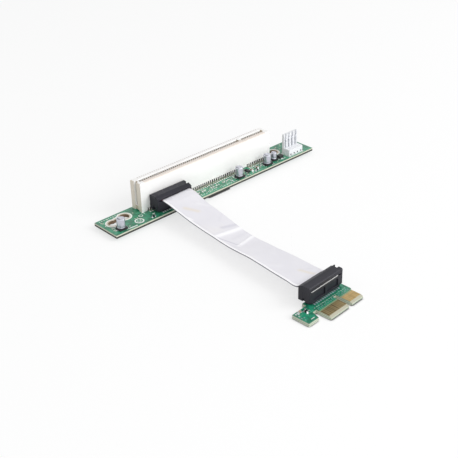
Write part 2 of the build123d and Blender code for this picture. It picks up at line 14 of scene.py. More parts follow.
import bmesh
import bpy
import numpy as np
from mathutils import Matrix, Vector


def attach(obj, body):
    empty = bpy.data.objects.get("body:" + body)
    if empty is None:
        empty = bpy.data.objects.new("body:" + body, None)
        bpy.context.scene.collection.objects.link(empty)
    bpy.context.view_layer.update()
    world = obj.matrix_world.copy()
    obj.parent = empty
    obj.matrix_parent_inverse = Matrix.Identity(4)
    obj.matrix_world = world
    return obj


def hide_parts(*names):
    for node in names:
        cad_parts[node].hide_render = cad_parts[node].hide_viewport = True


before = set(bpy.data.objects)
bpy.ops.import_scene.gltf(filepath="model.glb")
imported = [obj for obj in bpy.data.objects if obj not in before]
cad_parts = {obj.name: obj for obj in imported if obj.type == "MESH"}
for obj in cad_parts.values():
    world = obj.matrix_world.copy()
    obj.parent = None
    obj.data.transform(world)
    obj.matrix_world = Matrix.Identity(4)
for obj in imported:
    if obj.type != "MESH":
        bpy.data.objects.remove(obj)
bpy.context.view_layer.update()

MM = 0.001
UP = Vector((0, 0, 1))
CORNERS = np.array([[-1, -1], [1, -1], [1, 1], [-1, 1]])
Array = np.ndarray
Colour = tuple[float, float, float]
Place = tuple[float, float]
Socket = bpy.types.NodeSocket
Value = Union[float, Colour, Socket]
Inputs = dict[Union[str, int], Union[Value, Vector]]
ObjectData = Union[bpy.types.Mesh, bpy.types.Light, bpy.types.Camera]

# Heights of the thin layers over a board
LAMINATE_TOP = 0.02
TRACK_TOP = 0.025
PRINT_TOP = 0.03
PAD_TOP = 0.04
VIA_TOP = 0.05

log = logging.getLogger("riser_card")


class Slot(Enum):
    """The record's material slots; a piece is handed one, and nothing reads it."""

    MASK = "solder_mask"
    TIN = "tin_contact"
    CABLE = "cable_pvc"
    FOIL = "foil"
    WHITE = "white_plastic"
    BLACK = "black_plastic"
    CAN = "can_aluminium"
    SOLDER = "solder"


# Shapes worked out as arrays


def grid_faces(rows: int, columns: int, ring: bool = False) -> Array:
    """Four-cornered faces of a grid of points whose last column joins its first.

    Face (i, j) joins point (i, j) to its neighbours in the next column and the next row.

    Args:
        rows: Number of rows of points.
        columns: Number of points in a row.
        ring: Whether the last row joins the first.

    Returns:
        An array of four point numbers per face.
    """
    i = np.arange(rows if ring else rows - 1)[:, None]
    j = np.arange(columns)[None, :]
    here, below, beside = i * columns, (i + 1) % rows * columns, (j + 1) % columns
    corners = (here + j, here + beside, below + beside, below + j)
    return np.stack(np.broadcast_arrays(*corners), -1).reshape(-1, 4)


def circle(sides: int) -> Array:
    """Cosines and sines of evenly spaced angles, once round."""
    a = np.linspace(0, 2 * math.pi, sides, endpoint=False)
    return np.stack([np.cos(a), np.sin(a)])


def smooth_line(knots: Array, values: Array, at: Array) -> Array:
    """A smooth curve through given values.

    Between two knots it is the cubic that meets both values, with the slope at a knot being the
    slope of the chord between its two neighbours.

    Args:
        knots: Rising places of the known values.
        values: The value at each knot.
        at: Places to read the curve at.

    Returns:
        The curve's value at each place.
    """
    slopes = np.gradient(values, knots)
    k = np.clip(np.searchsorted(knots, at) - 1, 0, len(knots) - 2)
    step = knots[k + 1] - knots[k]
    t = np.clip((at - knots[k]) / step, 0.0, 1.0)
    start = (1 + 2 * t) * (1 - t) ** 2 * values[k] + t * (1 - t) ** 2 * step * slopes[k]
    finish = t * t * (3 - 2 * t) * values[k + 1] + t * t * (t - 1) * step * slopes[k + 1]
    return start + finish


def smooth_step(x: Array) -> Array:
    """Zero below 0, one above 1, and 3x² − 2x³ between."""
    t = np.clip(x, 0.0, 1.0)
    return t * t * (3 - 2 * t)


@dataclass(frozen=True)
class Deck:
    """A board's own flat frame: its left front corner, upper surface and turn in degrees."""

    x: float
    y: float
    z: float
    yaw: float = 0.0

    def axis(self, turn: float = 0.0) -> tuple[Vector, float]:
        """A level axis of the board, for reading distances from its corner.

        Args:
            turn: Degrees from the board's length.

        Returns:
            The axis, and the corner's distance along it.
        """
        a = math.radians(self.yaw + turn)
        axis = Vector((math.cos(a), math.sin(a), 0))
        return axis, axis.dot(Vector((self.x, self.y, 0)))

    def lay(self, u: Array, v: Array, height: Union[float, Array]) -> Array:
        """Places on the board as points of the model's frame.

        A place (u, v) is turned by the yaw about the corner, then moved by the corner.

        Args:
            u: Distance along the board from its corner.
            v: Distance across the board from its corner.
            height: Height above its upper surface.

        Returns:
            One point per place, in millimetres.
        """
        c, s = math.cos(math.radians(self.yaw)), math.sin(math.radians(self.yaw))
        u, v, height = np.broadcast_arrays(u, v, height)
        return np.stack([self.x + c * u - s * v, self.y + s * u + c * v, self.z + height], -1)


@dataclass
class Shell:
    """A growing mesh: points in millimetres, and faces that number them."""

    points: list[Array] = field(default_factory=list)
    faces: list[list[int]] = field(default_factory=list)
    count: int = 0

    def grow(self, points: Array, grid: Array, caps: Sequence[Sequence[int]] = ()) -> None:
        """Adds points and the faces between them.

        Args:
            points: New points, in any arrangement.
            grid: Four-cornered faces, numbered from the first new point.
            caps: Faces of any number of corners, numbered in the same way.
        """
        flat = np.asarray(points, float).reshape(-1, 3)
        self.faces.extend([[n + self.count for n in row] for row in [*grid.tolist(), *caps]])
        self.points.append(flat)
        self.count += len(flat)


@dataclass
class FlatWork:
    """Thin raised shapes on one deck, such as print, pads and tracks, gathered in one mesh."""

    deck: Deck
    height: float
    shell: Shell = field(default_factory=Shell)

    def walls(self, near: Array, far: Array) -> list[Array]:
        """The four edge lines of a strip, in order round its section.

        Args:
            near: Two rows, one side's places along and across the deck.
            far: The same for the other side, point beside point.

        Returns:
            The low near, low far, high far and high near lines.
        """
        edges = ((near, 0.0), (far, 0.0), (far, self.height), (near, self.height))
        return [self.deck.lay(*line, height) for line, height in edges]

    def fill(self, u: Array, v: Array) -> None:
        """A convex shape: its loop at the deck and at the height, walls between, and two caps.

        Args:
            u: The loop's places along the deck.
            v: The loop's places across the deck.
        """
        n = len(u)
        loops = np.stack([self.deck.lay(u, v, 0.0), self.deck.lay(u, v, self.height)])
        self.shell.grow(loops, grid_faces(2, n), (range(n, 2 * n), range(n - 1, -1, -1)))

    def band(self, inner: Array, outer: Array) -> None:
        """A closed band: inner and outer loops, each low and high, joined round its section."""
        self.shell.grow(np.stack(self.walls(inner, outer)), grid_faces(4, len(inner[0]), ring=True))

    def stroke(self, u: Sequence[float], v: Sequence[float], width: float) -> None:
        """A track of even width along a line of straight runs.

        Each point moves sideways by half the width along the mean of its two runs' normals,
        lengthened so that both runs keep their width.

        Args:
            u: The line's places along the deck.
            v: The line's places across the deck.
            width: The track's width.
        """
        line = np.array([u, v], float).T
        runs = np.diff(line, axis=0)
        normals = np.stack([-runs[:, 1], runs[:, 0]], 1) / np.linalg.norm(runs, axis=1)[:, None]
        before, after = np.vstack([normals[:1], normals]), np.vstack([normals, normals[-1:]])
        side = (before + after) / (1 + (before * after).sum(1))[:, None] * width / 2
        section = np.stack(self.walls((line + side).T, (line - side).T), 1)
        last = 4 * (len(line) - 1)
        ends = (range(4), range(last + 3, last - 1, -1))
        self.shell.grow(section, grid_faces(len(line), 4), ends)

    def plate(self, u: float, v: float, length: float, width: float) -> None:
        """A rectangle centred on a place."""
        x, y = CORNERS.T * [[length / 2], [width / 2]]
        self.fill(u + x, v + y)

    def disc(self, u: float, v: float, radius: float) -> None:
        """A filled circle centred on a place."""
        x, y = radius * circle(14)
        self.fill(u + x, v + y)

    def ring(self, u: float, v: float, inner: float, outer: float, sides: int = 12) -> None:
        """A flat ring centred on a place."""
        middle, way = np.array([[u], [v]]), circle(sides)
        self.band(middle + inner * way, middle + outer * way)

    def piece(self, name: str, finish: "Finish", slot: Slot) -> None:
        """Makes the gathered shapes one piece."""
        make_piece(name, self.shell, finish)


def bead_field(deck: Deck, places: Array, size: tuple[float, float, float]) -> Shell:
    """Low rounded beads of solder on a deck.

    Each bead is half an ellipsoid: at share q of its half size its height is the bead's height
    times the square root of 1 − q².

    Args:
        deck: The board that carries them.
        places: One row (u, v) per bead.
        size: A bead's half length, half width and height.

    Returns:
        The beads in one shell, open towards the board.
    """
    q = np.array([1.0, 0.85, 0.55, 0.2])[:, None]
    spots = places[:, :, None, None] + np.array(size[:2])[:, None, None] * q * circle(12)[:, None]
    heights = size[2] * np.sqrt(1 - q**2 * 0.999)
    shell = Shell()
    for points in deck.lay(spots[:, 0], spots[:, 1], heights):
        shell.grow(points, grid_faces(4, 12), (range(36, 48),))
    return shell


def turned(centre: Place, radii: Array, heights: Array, sides: int = 72) -> Shell:
    """A surface of revolution: a profile of radii and heights carried round an upright axis.

    Args:
        centre: The axis, as its x and y.
        radii: The profile's distances from the axis.
        heights: The profile's heights.
        sides: Number of columns round the axis.

    Returns:
        The surface in one shell.
    """
    x, y = np.array(centre)[:, None, None] + radii[:, None] * circle(sides)[:, None]
    shell = Shell()
    points = np.stack(np.broadcast_arrays(x, y, heights[:, None]), -1)
    shell.grow(points, grid_faces(len(radii), sides))
    return shell


# Materials


class Bench:
    """Lays out the nodes of one material or world. Patterns read the piece's Object coordinates."""

    def __init__(self, owner: Union[bpy.types.Material, bpy.types.World]) -> None:
        """Starts with no nodes.

        Args:
            owner: The material or world whose nodes are laid.
        """
        self.owner = owner
        owner.use_nodes = True
        self.tree = owner.node_tree
        self.tree.nodes.clear()

    @cached_property
    def place(self) -> Socket:
        """The piece's Object coordinates."""
        return self.node("TexCoord", {}).outputs["Object"]

    def node(self, kind: str, inputs: Inputs, **settings: Union[str, int]) -> bpy.types.Node:
        """Adds a shader node.

        Args:
            kind: The node's type without its ShaderNode prefix.
            inputs: Sockets to link, or values to set, by input name or number.
            settings: The node's own properties.

        Returns:
            The new node.
        """
        made = self.tree.nodes.new("ShaderNode" + kind)
        for key, value in settings.items():
            setattr(made, key, value)
        for key, value in inputs.items():
            if isinstance(value, bpy.types.NodeSocket):
                self.tree.links.new(value, made.inputs[key])
            elif isinstance(value, tuple) and made.inputs[key].type == "RGBA":
                made.inputs[key].default_value = (*value, 1.0)
            else:
                made.inputs[key].default_value = value
        return made

    def noise(self, scale: float, detail: float, stretch: Optional[Colour] = None) -> Socket:
        """Noise over the piece, even or drawn out into streaks.

        Args:
            scale: Features per metre.
            detail: Octaves of finer noise.
            stretch: Scales of the coordinates by axis; a small one draws streaks along it.

        Returns:
            The noise, from 0 to 1.
        """
        where = self.place
        if stretch:
            where = self.node("Mapping", {"Vector": where, "Scale": Vector(stretch)}).outputs[0]
        return self.node("TexNoise", {"Vector": where, "Scale": scale, "Detail": detail}).outputs[0]

    def along(self, axis: Vector, start: float) -> Socket:
        """Distance in millimetres along an axis from a starting value."""
        far = self.node("VectorMath", {0: self.place, 1: axis * 1000}, operation="DOT_PRODUCT")
        return self.math("SUBTRACT", far.outputs["Value"], start)

    def attribute(self, name: str) -> Socket:
        """A number that the piece's points carry."""
        return self.node("Attribute", {}, attribute_name=name).outputs["Fac"]

    def math(self, operation: str, a: Value, b: Value = 0.0) -> Socket:
        """One arithmetic step."""
        return self.node("Math", {0: a, 1: b}, operation=operation).outputs[0]

    def times(self, *factors: Value) -> Socket:
        """The product of some numbers."""
        return reduce(lambda a, b: self.math("MULTIPLY", a, b), factors)

    def apart(self, value: Socket, middle: float) -> Socket:
        """How far a number is from a middle value, on either side."""
        return self.math("ABSOLUTE", self.math("SUBTRACT", value, middle))

    def ramp(self, value: Socket, low: float, high: float) -> Socket:
        """Zero up to low, one from high on, and a smooth rise between; falls if low is larger."""
        inputs = {"Value": value, "From Min": low, "From Max": high}
        return self.node("MapRange", inputs, interpolation_type="SMOOTHSTEP").outputs[0]

    def between(self, value: Socket, low: float, high: float, soft: float) -> Socket:
        """One between two values, fading to zero over a soft width inside each."""
        return self.times(self.ramp(value, low, low + soft), self.ramp(value, high, high - soft))

    def mix(self, share: Value, a: Value, b: Value) -> Socket:
        """Two colours mixed by a share."""
        return self.node("Mix", {0: share, 6: a, 7: b}, data_type="RGBA").outputs[2]

    def tint(self, colour: Value, other: Value, share: Socket, most: float) -> Socket:
        """A colour with part of another: a share, times the most of it."""
        return self.mix(self.times(share, most), colour, other)

    def mottled(self, tone: Colour, shade: Colour, most: float) -> Socket:
        """A moulding's tone with broad flow streaks of its shade."""
        streaks = self.noise(160, 3, (0.25, 1.0, 1.0))
        return self.tint(tone, shade, self.ramp(streaks, 0.35, 0.7), most)

    def level(self, share: Socket, a: float, b: float) -> Socket:
        """A number between a and b by a share."""
        return self.node("Mix", {0: share, 2: a, 3: b}, data_type="FLOAT").outputs[0]

    def facing(self, axis: str) -> Socket:
        """Tells faces that look along an axis from the others.

        Args:
            axis: X, Y or Z.

        Returns:
            One on those faces, either way round, and zero on the others.
        """
        normal = self.node("NewGeometry", {}).outputs["True Normal"]
        part = self.node("SeparateXYZ", {0: normal}).outputs[axis]
        return self.math("GREATER_THAN", self.math("ABSOLUTE", part), 0.5)

    def seen(self) -> Socket:
        """One for rays from the camera, off gloss and through glass, and zero for falling light.

        Returns:
            The largest of the three kinds of ray.
        """
        path = self.node("LightPath", {})
        rays = [path.outputs[f"Is {kind} Ray"] for kind in ("Camera", "Glossy", "Transmission")]
        return reduce(lambda a, b: self.math("MAXIMUM", a, b), rays)

    def bump(self, height: Socket, depth: float, edge: float = 0.0) -> Socket:
        """The normal over a relief, with the piece's sharp edges rounded.

        Args:
            height: The relief, from 0 to 1.
            depth: Its depth in millimetres.
            edge: Radius of the rounded edges in millimetres, if any.

        Returns:
            The normal.
        """
        inputs: Inputs = {"Height": height, "Distance": depth * MM, "Strength": 1.0}
        if edge:
            inputs["Normal"] = self.node("Bevel", {"Radius": edge * MM}, samples=4).outputs[0]
        return self.node("Bump", inputs).outputs[0]

    def surface(
        self, colour: Value, roughness: Value, normal: Socket, metal: Value = 0.0, **fixed: float
    ) -> bpy.types.Material:
        """Ends the material in one Principled surface.

        Args:
            colour: Base colour.
            roughness: Roughness.
            normal: Normal of its relief.
            metal: Metallic share.
            fixed: Sockets that are the same all over, with underscores for spaces.

        Returns:
            The finished material.
        """
        inputs: Inputs = {"Base Color": colour, "Roughness": roughness, "Metallic": metal}
        inputs.update({key.replace("_", " "): value for key, value in fixed.items()})
        shader = self.node("BsdfPrincipled", {**inputs, "Normal": normal})
        self.node("OutputMaterial", {"Surface": shader.outputs[0]})
        return self.owner


@dataclass(frozen=True)
class Finish(ABC):
    """A finish by name. The same finish is made once and shared."""

    name: str

    def material(self) -> bpy.types.Material:
        """The finish's material, made on first use."""
        ready = bpy.data.materials.get(self.name)
        return ready or self.wire(Bench(bpy.data.materials.new(self.name)))

    @abstractmethod
    def wire(self, bench: Bench) -> bpy.types.Material:
        """Lays the finish's nodes.

        Args:
            bench: The new material's bench.

        Returns:
            The finished material.
        """


@dataclass(frozen=True)
class BoardFinish(Finish):
    """Green lacquer over copper and glass cloth, with sawn laminate at the edges."""

    deck: Deck
    length: float
    width: float
    green: Colour
    laminate: Colour = (0.50, 0.52, 0.41)
    bare_fingers: bool = False
    # Share of painted shade on the lower part of the cut side
    painted_side_shade: float = 0.0
    finger_end: float = 6.3
    bevel: float = 1.2

    def wire(self, bench: Bench) -> bpy.types.Material:
        """Copper pours as lighter patches, fine cloth speckle, and bare laminate where cut.

        Where the cut side has painted shade, it darkens from 0.6 to 0.75 mm below the upper face,
        standing in for the shadow under the board. The fingers' end has bare resin, and a board
        without fingers has burnt walls in its openings.

        Args:
            bench: The new material's bench.

        Returns:
            The finished material.
        """
        u, v = (bench.along(*self.deck.axis(turn)) for turn in (0, 90))
        pour = bench.ramp(bench.noise(420, 2), 0.47, 0.53)
        speckle = bench.ramp(bench.noise(3600, 4), 0.56, 0.72)
        cloth = bench.node("TexVoronoi", {"Vector": bench.place, "Scale": 2600.0})
        lacquer = bench.mix(pour, self.green, tuple(0.62 * part for part in self.green))
        pale = tuple(0.55 * part + 0.2 for part in self.green)
        lacquer = bench.tint(lacquer, pale, speckle, 0.45)
        layers = bench.node("TexWave", {"Vector": bench.place, "Scale": 420.0}, bands_direction="Z")
        cut = bench.mix(layers.outputs["Fac"], self.laminate, (0.66, 0.68, 0.56))
        # Painted shade: the cut side turns nearly black below its upper part, in place of the
        # shadow under the board
        under = bench.ramp(bench.along(UP, self.deck.z), -0.60, -0.75)
        cut = bench.tint(cut, (0.022, 0.024, 0.02), under, self.painted_side_shade)
        if self.bare_fingers:
            front = bench.math("LESS_THAN", v, self.finger_end)
            bare = bench.times(front, bench.math("GREATER_THAN", u, -0.3))
            resin = bench.mix(bench.noise(900, 3), (0.27, 0.235, 0.12), (0.40, 0.355, 0.20))
            bevelled = bench.ramp(v, self.bevel + 0.05, self.bevel - 0.05)
            resin = bench.mix(bevelled, resin, (0.48, 0.47, 0.36))
            lacquer = bench.mix(bare, lacquer, resin)
        else:
            halves = ((u, self.length / 2), (v, self.width / 2))
            inner = [bench.math("LESS_THAN", bench.apart(x, h), h - 0.5) for x, h in halves]
            burnt = bench.mix(bench.noise(1500, 4), (0.10, 0.055, 0.03), (0.30, 0.20, 0.12))
            cut = bench.mix(bench.times(*inner), cut, burnt)
        up = bench.facing("Z")
        colour, rough = bench.mix(up, cut, lacquer), bench.level(up, 0.75, 0.30)
        relief = bench.bump(bench.math("ADD", cloth.outputs["Distance"], pour), 0.012, 0.08)
        return bench.surface(colour, rough, relief, Coat_Weight=0.15, Coat_Roughness=0.25)


@dataclass(frozen=True)
class MouldedFinish(Finish):
    """Moulded plastic: fine mottling, flow streaks, a fine mould texture and broken edges."""

    tone: Colour
    shade: Colour
    roughness: float
    edge: float
    ior: float = 1.46

    def wire(self, bench: Bench) -> bpy.types.Material:
        """Mottles the tone with its shade, and roughens it by a finer noise.

        Args:
            bench: The new material's bench.

        Returns:
            The finished material.
        """
        fine = bench.noise(2400, 3)
        colour = bench.tint(bench.mottled(self.tone, self.shade, 0.6), self.shade, fine, 0.25)
        rough = bench.level(fine, self.roughness - 0.08, self.roughness + 0.1)
        return bench.surface(colour, rough, bench.bump(fine, 0.006, self.edge), IOR=self.ior)


@dataclass(frozen=True)
class SlotFinish(Finish):
    """Ivory moulding with painted shade marking the contact pits along its upper edges."""

    deck: Deck
    tone: Colour = (0.94, 0.935, 0.925)
    shade: Colour = (0.88, 0.87, 0.85)
    # The next four colours are painted shade: on the ends, in the groove, on the lip's top and in
    # the contact pits
    cream: Colour = (0.76, 0.68, 0.56)
    brown: Colour = (0.52, 0.43, 0.32)
    warm: Colour = (0.78, 0.64, 0.53)
    pit: Colour = (0.36, 0.31, 0.26)
    # Painted shade inside the comb at the foot
    dark: Colour = (0.02, 0.018, 0.016)
    first: float = 24.885
    pitch: float = 1.27
    comb: tuple[float, float] = (24.0, 103.2)
    walls: tuple[float, float] = (8.62, 15.98)
    lip: tuple[float, float] = (9.3, 11.2)
    lip_end: float = 11.6
    middle: float = 12.3
    back_row: float = 15.25

    def wire(self, bench: Bench) -> bpy.types.Material:
        """Marks repeat with the contacts: a place's share of the pitch says where it lies.

        Along the lip each mark is a tick of painted shade that fades towards the front, and behind
        the card slot it is a short dash of painted shade. The lip's top is also warmer all along
        with painted shade, and the housing's ends carry a creamier painted shade, with a browner
        painted shade in the groove.
        Inside the comb at the foot, between the outer faces, the walls carry painted shade, nearly
        black.

        Args:
            bench: The new material's bench.

        Returns:
            The finished material.
        """
        u, v = (bench.along(*self.deck.axis(turn)) for turn in (0, 90))
        turn = bench.math("DIVIDE", bench.math("SUBTRACT", u, self.first), self.pitch)
        off = bench.apart(bench.math("FRACT", bench.math("ADD", turn, 50.5)), 0.5)
        run = bench.between(u, *self.comb, 0.4)
        up = bench.times(bench.facing("Z"), run)
        front = bench.times(bench.math("LESS_THAN", v, self.lip_end), up)
        tick = bench.times(bench.ramp(off, 0.26, 0.14), bench.ramp(v, *self.lip), front)
        row = bench.ramp(bench.apart(v, self.back_row), 0.34, 0.2)
        dash = bench.times(bench.ramp(off, 0.34, 0.22), row, up)
        end = bench.facing("X")
        groove = bench.times(bench.ramp(bench.apart(v, self.middle), 1.0, 0.9), end)
        colour = bench.mottled(self.tone, self.shade, 0.5)
        # Painted shade: ends, groove, lip top and pits are tinted darker and warmer than the
        # moulding
        for other, share, most in (
            (self.cream, end, 0.85),
            (self.brown, groove, 0.8),
            (self.warm, front, 0.55),
            (self.pit, tick, 0.75),
            (self.pit, dash, 0.6),
        ):
            colour = bench.tint(colour, other, share, most)
        # Painted shade: the comb's inner walls at the foot are painted nearly black
        foot = bench.ramp(bench.along(UP, self.deck.z), 1.7, 1.5)
        inside = bench.times(bench.between(v, *self.walls, 0.1), run, foot)
        fine = bench.noise(2400, 3)
        colour = bench.mix(inside, colour, self.dark)
        relief = bench.bump(fine, 0.006, 0.15)
        return bench.surface(colour, bench.level(fine, 0.36, 0.52), relief, IOR=1.5)


@dataclass(frozen=True)
class MetalFinish(Finish):
    """Plated or drawn metal with clouded tone, fine drawing lines and small tarnish spots."""

    tone: Colour
    tarnish: Colour
    roughness: float

    def wire(self, bench: Bench) -> bpy.types.Material:
        """Tarnish follows a broad noise, and the drawing lines a stretched one.

        Args:
            bench: The new material's bench.

        Returns:
            The finished material.
        """
        drawn = bench.noise(900, 2, (1.0, 1.0, 8.0))
        cloud = bench.ramp(bench.noise(520, 4), 0.42, 0.75)
        colour = bench.tint(self.tone, self.tarnish, cloud, 0.7)
        rough = bench.level(drawn, self.roughness, self.roughness + 0.18)
        return bench.surface(colour, rough, bench.bump(drawn, 0.004, 0.04), metal=1.0)


@dataclass(frozen=True)
class ContactFinish(Finish):
    """Tin on a contact's foot, and painted shade over the metal where the housing covers it."""

    deck: Deck
    tone: Colour = (0.80, 0.76, 0.66)
    tarnish: Colour = (0.42, 0.34, 0.24)
    # The next two colours are painted shade where the housing covers the contacts
    painted_shade_tone: Colour = (0.36, 0.26, 0.18)
    inner: Colour = (0.03, 0.025, 0.02)
    walls: tuple[float, float] = (8.6, 16.0)

    def wire(self, bench: Bench) -> bpy.types.Material:
        """The painted shade starts at the housing's two long walls, and its near-black part ends 2
        mm above the board.

        Args:
            bench: The new material's bench.

        Returns:
            The finished material.
        """
        # Painted shade: tinted darker between the walls, near black in the lowest 2 mm
        inside = bench.between(bench.along(*self.deck.axis(90)), *self.walls, 0.15)
        low = bench.times(inside, bench.ramp(bench.along(UP, self.deck.z), 2.2, 1.8))
        cloud = bench.ramp(bench.noise(700, 4), 0.42, 0.7)
        colour = bench.tint(self.tone, self.tarnish, cloud, 0.8)
        colour = bench.mix(low, bench.tint(colour, self.painted_shade_tone, inside, 0.7), self.inner)
        drawn = bench.noise(900, 2, (1.0, 1.0, 8.0))
        relief = bench.bump(drawn, 0.004, 0.04)
        return bench.surface(colour, bench.level(drawn, 0.28, 0.46), relief, metal=1.0)


@dataclass(frozen=True)
class FingerFinish(Finish):
    """Gold plating, browner and striped by wear on the left group of fingers."""

    deck: Deck
    worn: Colour = (0.31, 0.225, 0.10)
    stripe: Colour = (0.12, 0.08, 0.035)
    fresh: Colour = (0.60, 0.41, 0.17)
    cloudy: Colour = (0.36, 0.235, 0.085)
    key: tuple[float, float] = (11.6, 12.4)

    def wire(self, bench: Bench) -> bpy.types.Material:
        """Stripes follow a noise drawn out along the fingers; the key notch parts the groups.

        Args:
            bench: The new material's bench.

        Returns:
            The finished material.
        """
        lines = bench.ramp(bench.noise(1500, 2, (1.0, 0.06, 1.0)), 0.42, 0.62)
        cloud = bench.ramp(bench.noise(420, 3), 0.35, 0.7)
        left = bench.tint(self.worn, self.stripe, lines, 0.85)
        right = bench.tint(self.fresh, self.cloudy, cloud, 0.5)
        colour = bench.mix(bench.ramp(bench.along(*self.deck.axis()), *self.key), left, right)
        relief = bench.bump(lines, 0.004, 0.04)
        return bench.surface(colour, bench.level(lines, 0.30, 0.46), relief, metal=0.85)


@dataclass(frozen=True)
class CanFinish(Finish):
    """A drawn aluminium can with a dark polarity mark on the left of its lid."""

    centre: Place
    lid: float
    radius: float

    def wire(self, bench: Bench) -> bpy.types.Material:
        """The mark fills the lid's left part, to a chord; the side has drawing lines.

        The chord lies a third of the radius left of the middle, and the mark ends at the rim.

        Args:
            bench: The new material's bench.

        Returns:
            The finished material.
        """
        left = bench.along(Vector((1, 0, 0)), self.centre[0])
        back = bench.along(Vector((0, 1, 0)), self.centre[1])
        squares = bench.math("ADD", bench.times(left, left), bench.times(back, back))
        mark = bench.times(
            bench.ramp(left, -0.31 * self.radius, -0.36 * self.radius),
            bench.ramp(bench.math("SQRT", squares), 0.81 * self.radius, 0.775 * self.radius),
            bench.ramp(bench.along(UP, self.lid), -0.12, -0.02),
        )
        drawn = bench.noise(1400, 2, (1.0, 1.0, 0.12))
        metal = bench.mix(bench.noise(700, 3), (0.46, 0.47, 0.53), (0.66, 0.67, 0.74))
        colour = bench.mix(mark, metal, (0.035, 0.035, 0.045))
        rough, bare = bench.level(drawn, 0.22, 0.42), bench.math("SUBTRACT", 1.0, mark)
        return bench.surface(colour, rough, bench.bump(drawn, 0.006), metal=bare)


@dataclass(frozen=True)
class FoilFinish(Finish):
    """Thin laminated foil: lilac silver, clouded by handling, with painted highlights and painted
    shade at its folds and near edge.
    """

    tone: Colour = (0.77, 0.76, 0.81)
    pale: Colour = (0.83, 0.82, 0.86)
    warm: Colour = (0.90, 0.86, 0.82)
    beige: Colour = (0.80, 0.72, 0.60)
    # The next three colours are painted shade, a painted highlight and deeper painted shade, laid
    # by the fold attribute
    grey: Colour = (0.62, 0.61, 0.68)
    bright: Colour = (0.98, 0.975, 1.0)
    dark: Colour = (0.10, 0.10, 0.12)

    def wire(self, bench: Bench) -> bpy.types.Material:
        """Reads two attributes of the wrap.

        Fold is painted light: a painted highlight above a half, painted shade below it and darker
        painted shade below zero. Warm is a beige tint.

        Args:
            bench: The new material's bench.

        Returns:
            The finished material.
        """
        fold = bench.attribute("fold")
        colour = bench.mix(bench.noise(120, 3), self.tone, self.pale)
        colour = bench.tint(colour, self.warm, bench.ramp(bench.noise(48, 2), 0.56, 0.72), 0.30)
        colour = bench.tint(colour, self.beige, bench.attribute("warm"), 0.55)
        colour = bench.mix(bench.ramp(fold, 0.5, 0.0), colour, self.grey)
        colour = bench.mix(bench.ramp(fold, 0.5, 1.0), colour, self.bright)
        colour = bench.mix(bench.ramp(fold, -0.05, -0.45), colour, self.dark)
        crinkle = bench.noise(1100, 4, (1.0, 0.35, 1.0))
        wave = bench.times(bench.noise(230, 2), 4.0)
        relief = bench.bump(bench.math("ADD", crinkle, wave), 0.03)
        return bench.surface(colour, bench.level(crinkle, 0.30, 0.46), relief, metal=0.55)


@dataclass(frozen=True)
class RibbonFinish(Finish):
    """Soft grey cable plastic; the first conductor has a dark red stripe."""

    def wire(self, bench: Bench) -> bpy.types.Material:
        """Reads the stripe attribute for the red conductor, and a noise for dust and rub.

        Args:
            bench: The new material's bench.

        Returns:
            The finished material.
        """
        rub = bench.noise(900, 4)
        plastic = bench.mix(rub, (0.60, 0.60, 0.60), (0.78, 0.77, 0.76))
        ink = bench.mix(rub, (0.22, 0.01, 0.035), (0.36, 0.03, 0.06))
        colour = bench.mix(bench.attribute("stripe"), plastic, ink)
        return bench.surface(colour, bench.level(rub, 0.42, 0.6), bench.bump(rub, 0.01))


@dataclass(frozen=True)
class PrintFinish(Finish):
    """Screen-printed ink or lacquer over copper: a flat coat with a broken, grainy face."""

    tone: Colour
    worn: Colour
    roughness: float = 0.6

    def wire(self, bench: Bench) -> bpy.types.Material:
        """A fine noise thins the coat in spots.

        Args:
            bench: The new material's bench.

        Returns:
            The finished material.
        """
        thin = bench.ramp(bench.noise(2600, 4), 0.5, 0.78)
        colour = bench.tint(self.tone, self.worn, thin, 0.35)
        return bench.surface(colour, self.roughness, bench.bump(bench.noise(5200, 2), 0.006))


RISER_DECK = Deck(-65.1, 45.65, 3.1)
EDGE_DECK = Deck(-42.99, -62.5, 1.65, yaw=2.28)

IVORY = SlotFinish("ivory_moulding", RISER_DECK)
CONTACT = ContactFinish("slot_contact_tin", RISER_DECK)
FINGERS = FingerFinish("finger_gold", EDGE_DECK)
# The riser board's cut side carries painted shade on its lower part
RISER_BOARD = BoardFinish(
    "riser_lacquer", RISER_DECK, 130.2, 16.85, (0.030, 0.27, 0.145), painted_side_shade=0.97
)
EDGE_BOARD = BoardFinish(
    "edge_lacquer", EDGE_DECK, 20.3, 14.4, (0.012, 0.27, 0.15), (0.30, 0.38, 0.28), True
)
BLACK = MouldedFinish(
    "black_moulding", (0.012, 0.012, 0.018), (0.024, 0.024, 0.034), 0.44, 0.16, ior=1.36
)
WHITE = MouldedFinish("white_moulding", (0.84, 0.85, 0.87), (0.74, 0.75, 0.78), 0.40, 0.14)
CHIP = MouldedFinish("chip_moulding", (0.018, 0.018, 0.020), (0.040, 0.040, 0.043), 0.55, 0.08)
PAINTED_PORT_SHADE = MouldedFinish("port_shade", (0.012, 0.012, 0.014), (0.03, 0.03, 0.035), 0.6, 0.02)
CERAMIC = MouldedFinish("ceramic_brown", (0.23, 0.13, 0.075), (0.32, 0.20, 0.12), 0.5, 0.06)
RESISTIVE = MouldedFinish("resistor_glaze", (0.014, 0.014, 0.018), (0.04, 0.04, 0.05), 0.3, 0.05)
TIN = MetalFinish("tin_plate", (0.80, 0.77, 0.68), (0.52, 0.47, 0.38), 0.28)
PIN = MetalFinish("pin_plate", (0.72, 0.70, 0.66), (0.45, 0.42, 0.38), 0.30)
POWER_PIN = MetalFinish("power_pin_plate", (0.84, 0.85, 0.88), (0.52, 0.53, 0.56), 0.24)
SOLDER = MetalFinish("solder_joint", (0.78, 0.79, 0.80), (0.55, 0.55, 0.56), 0.32)
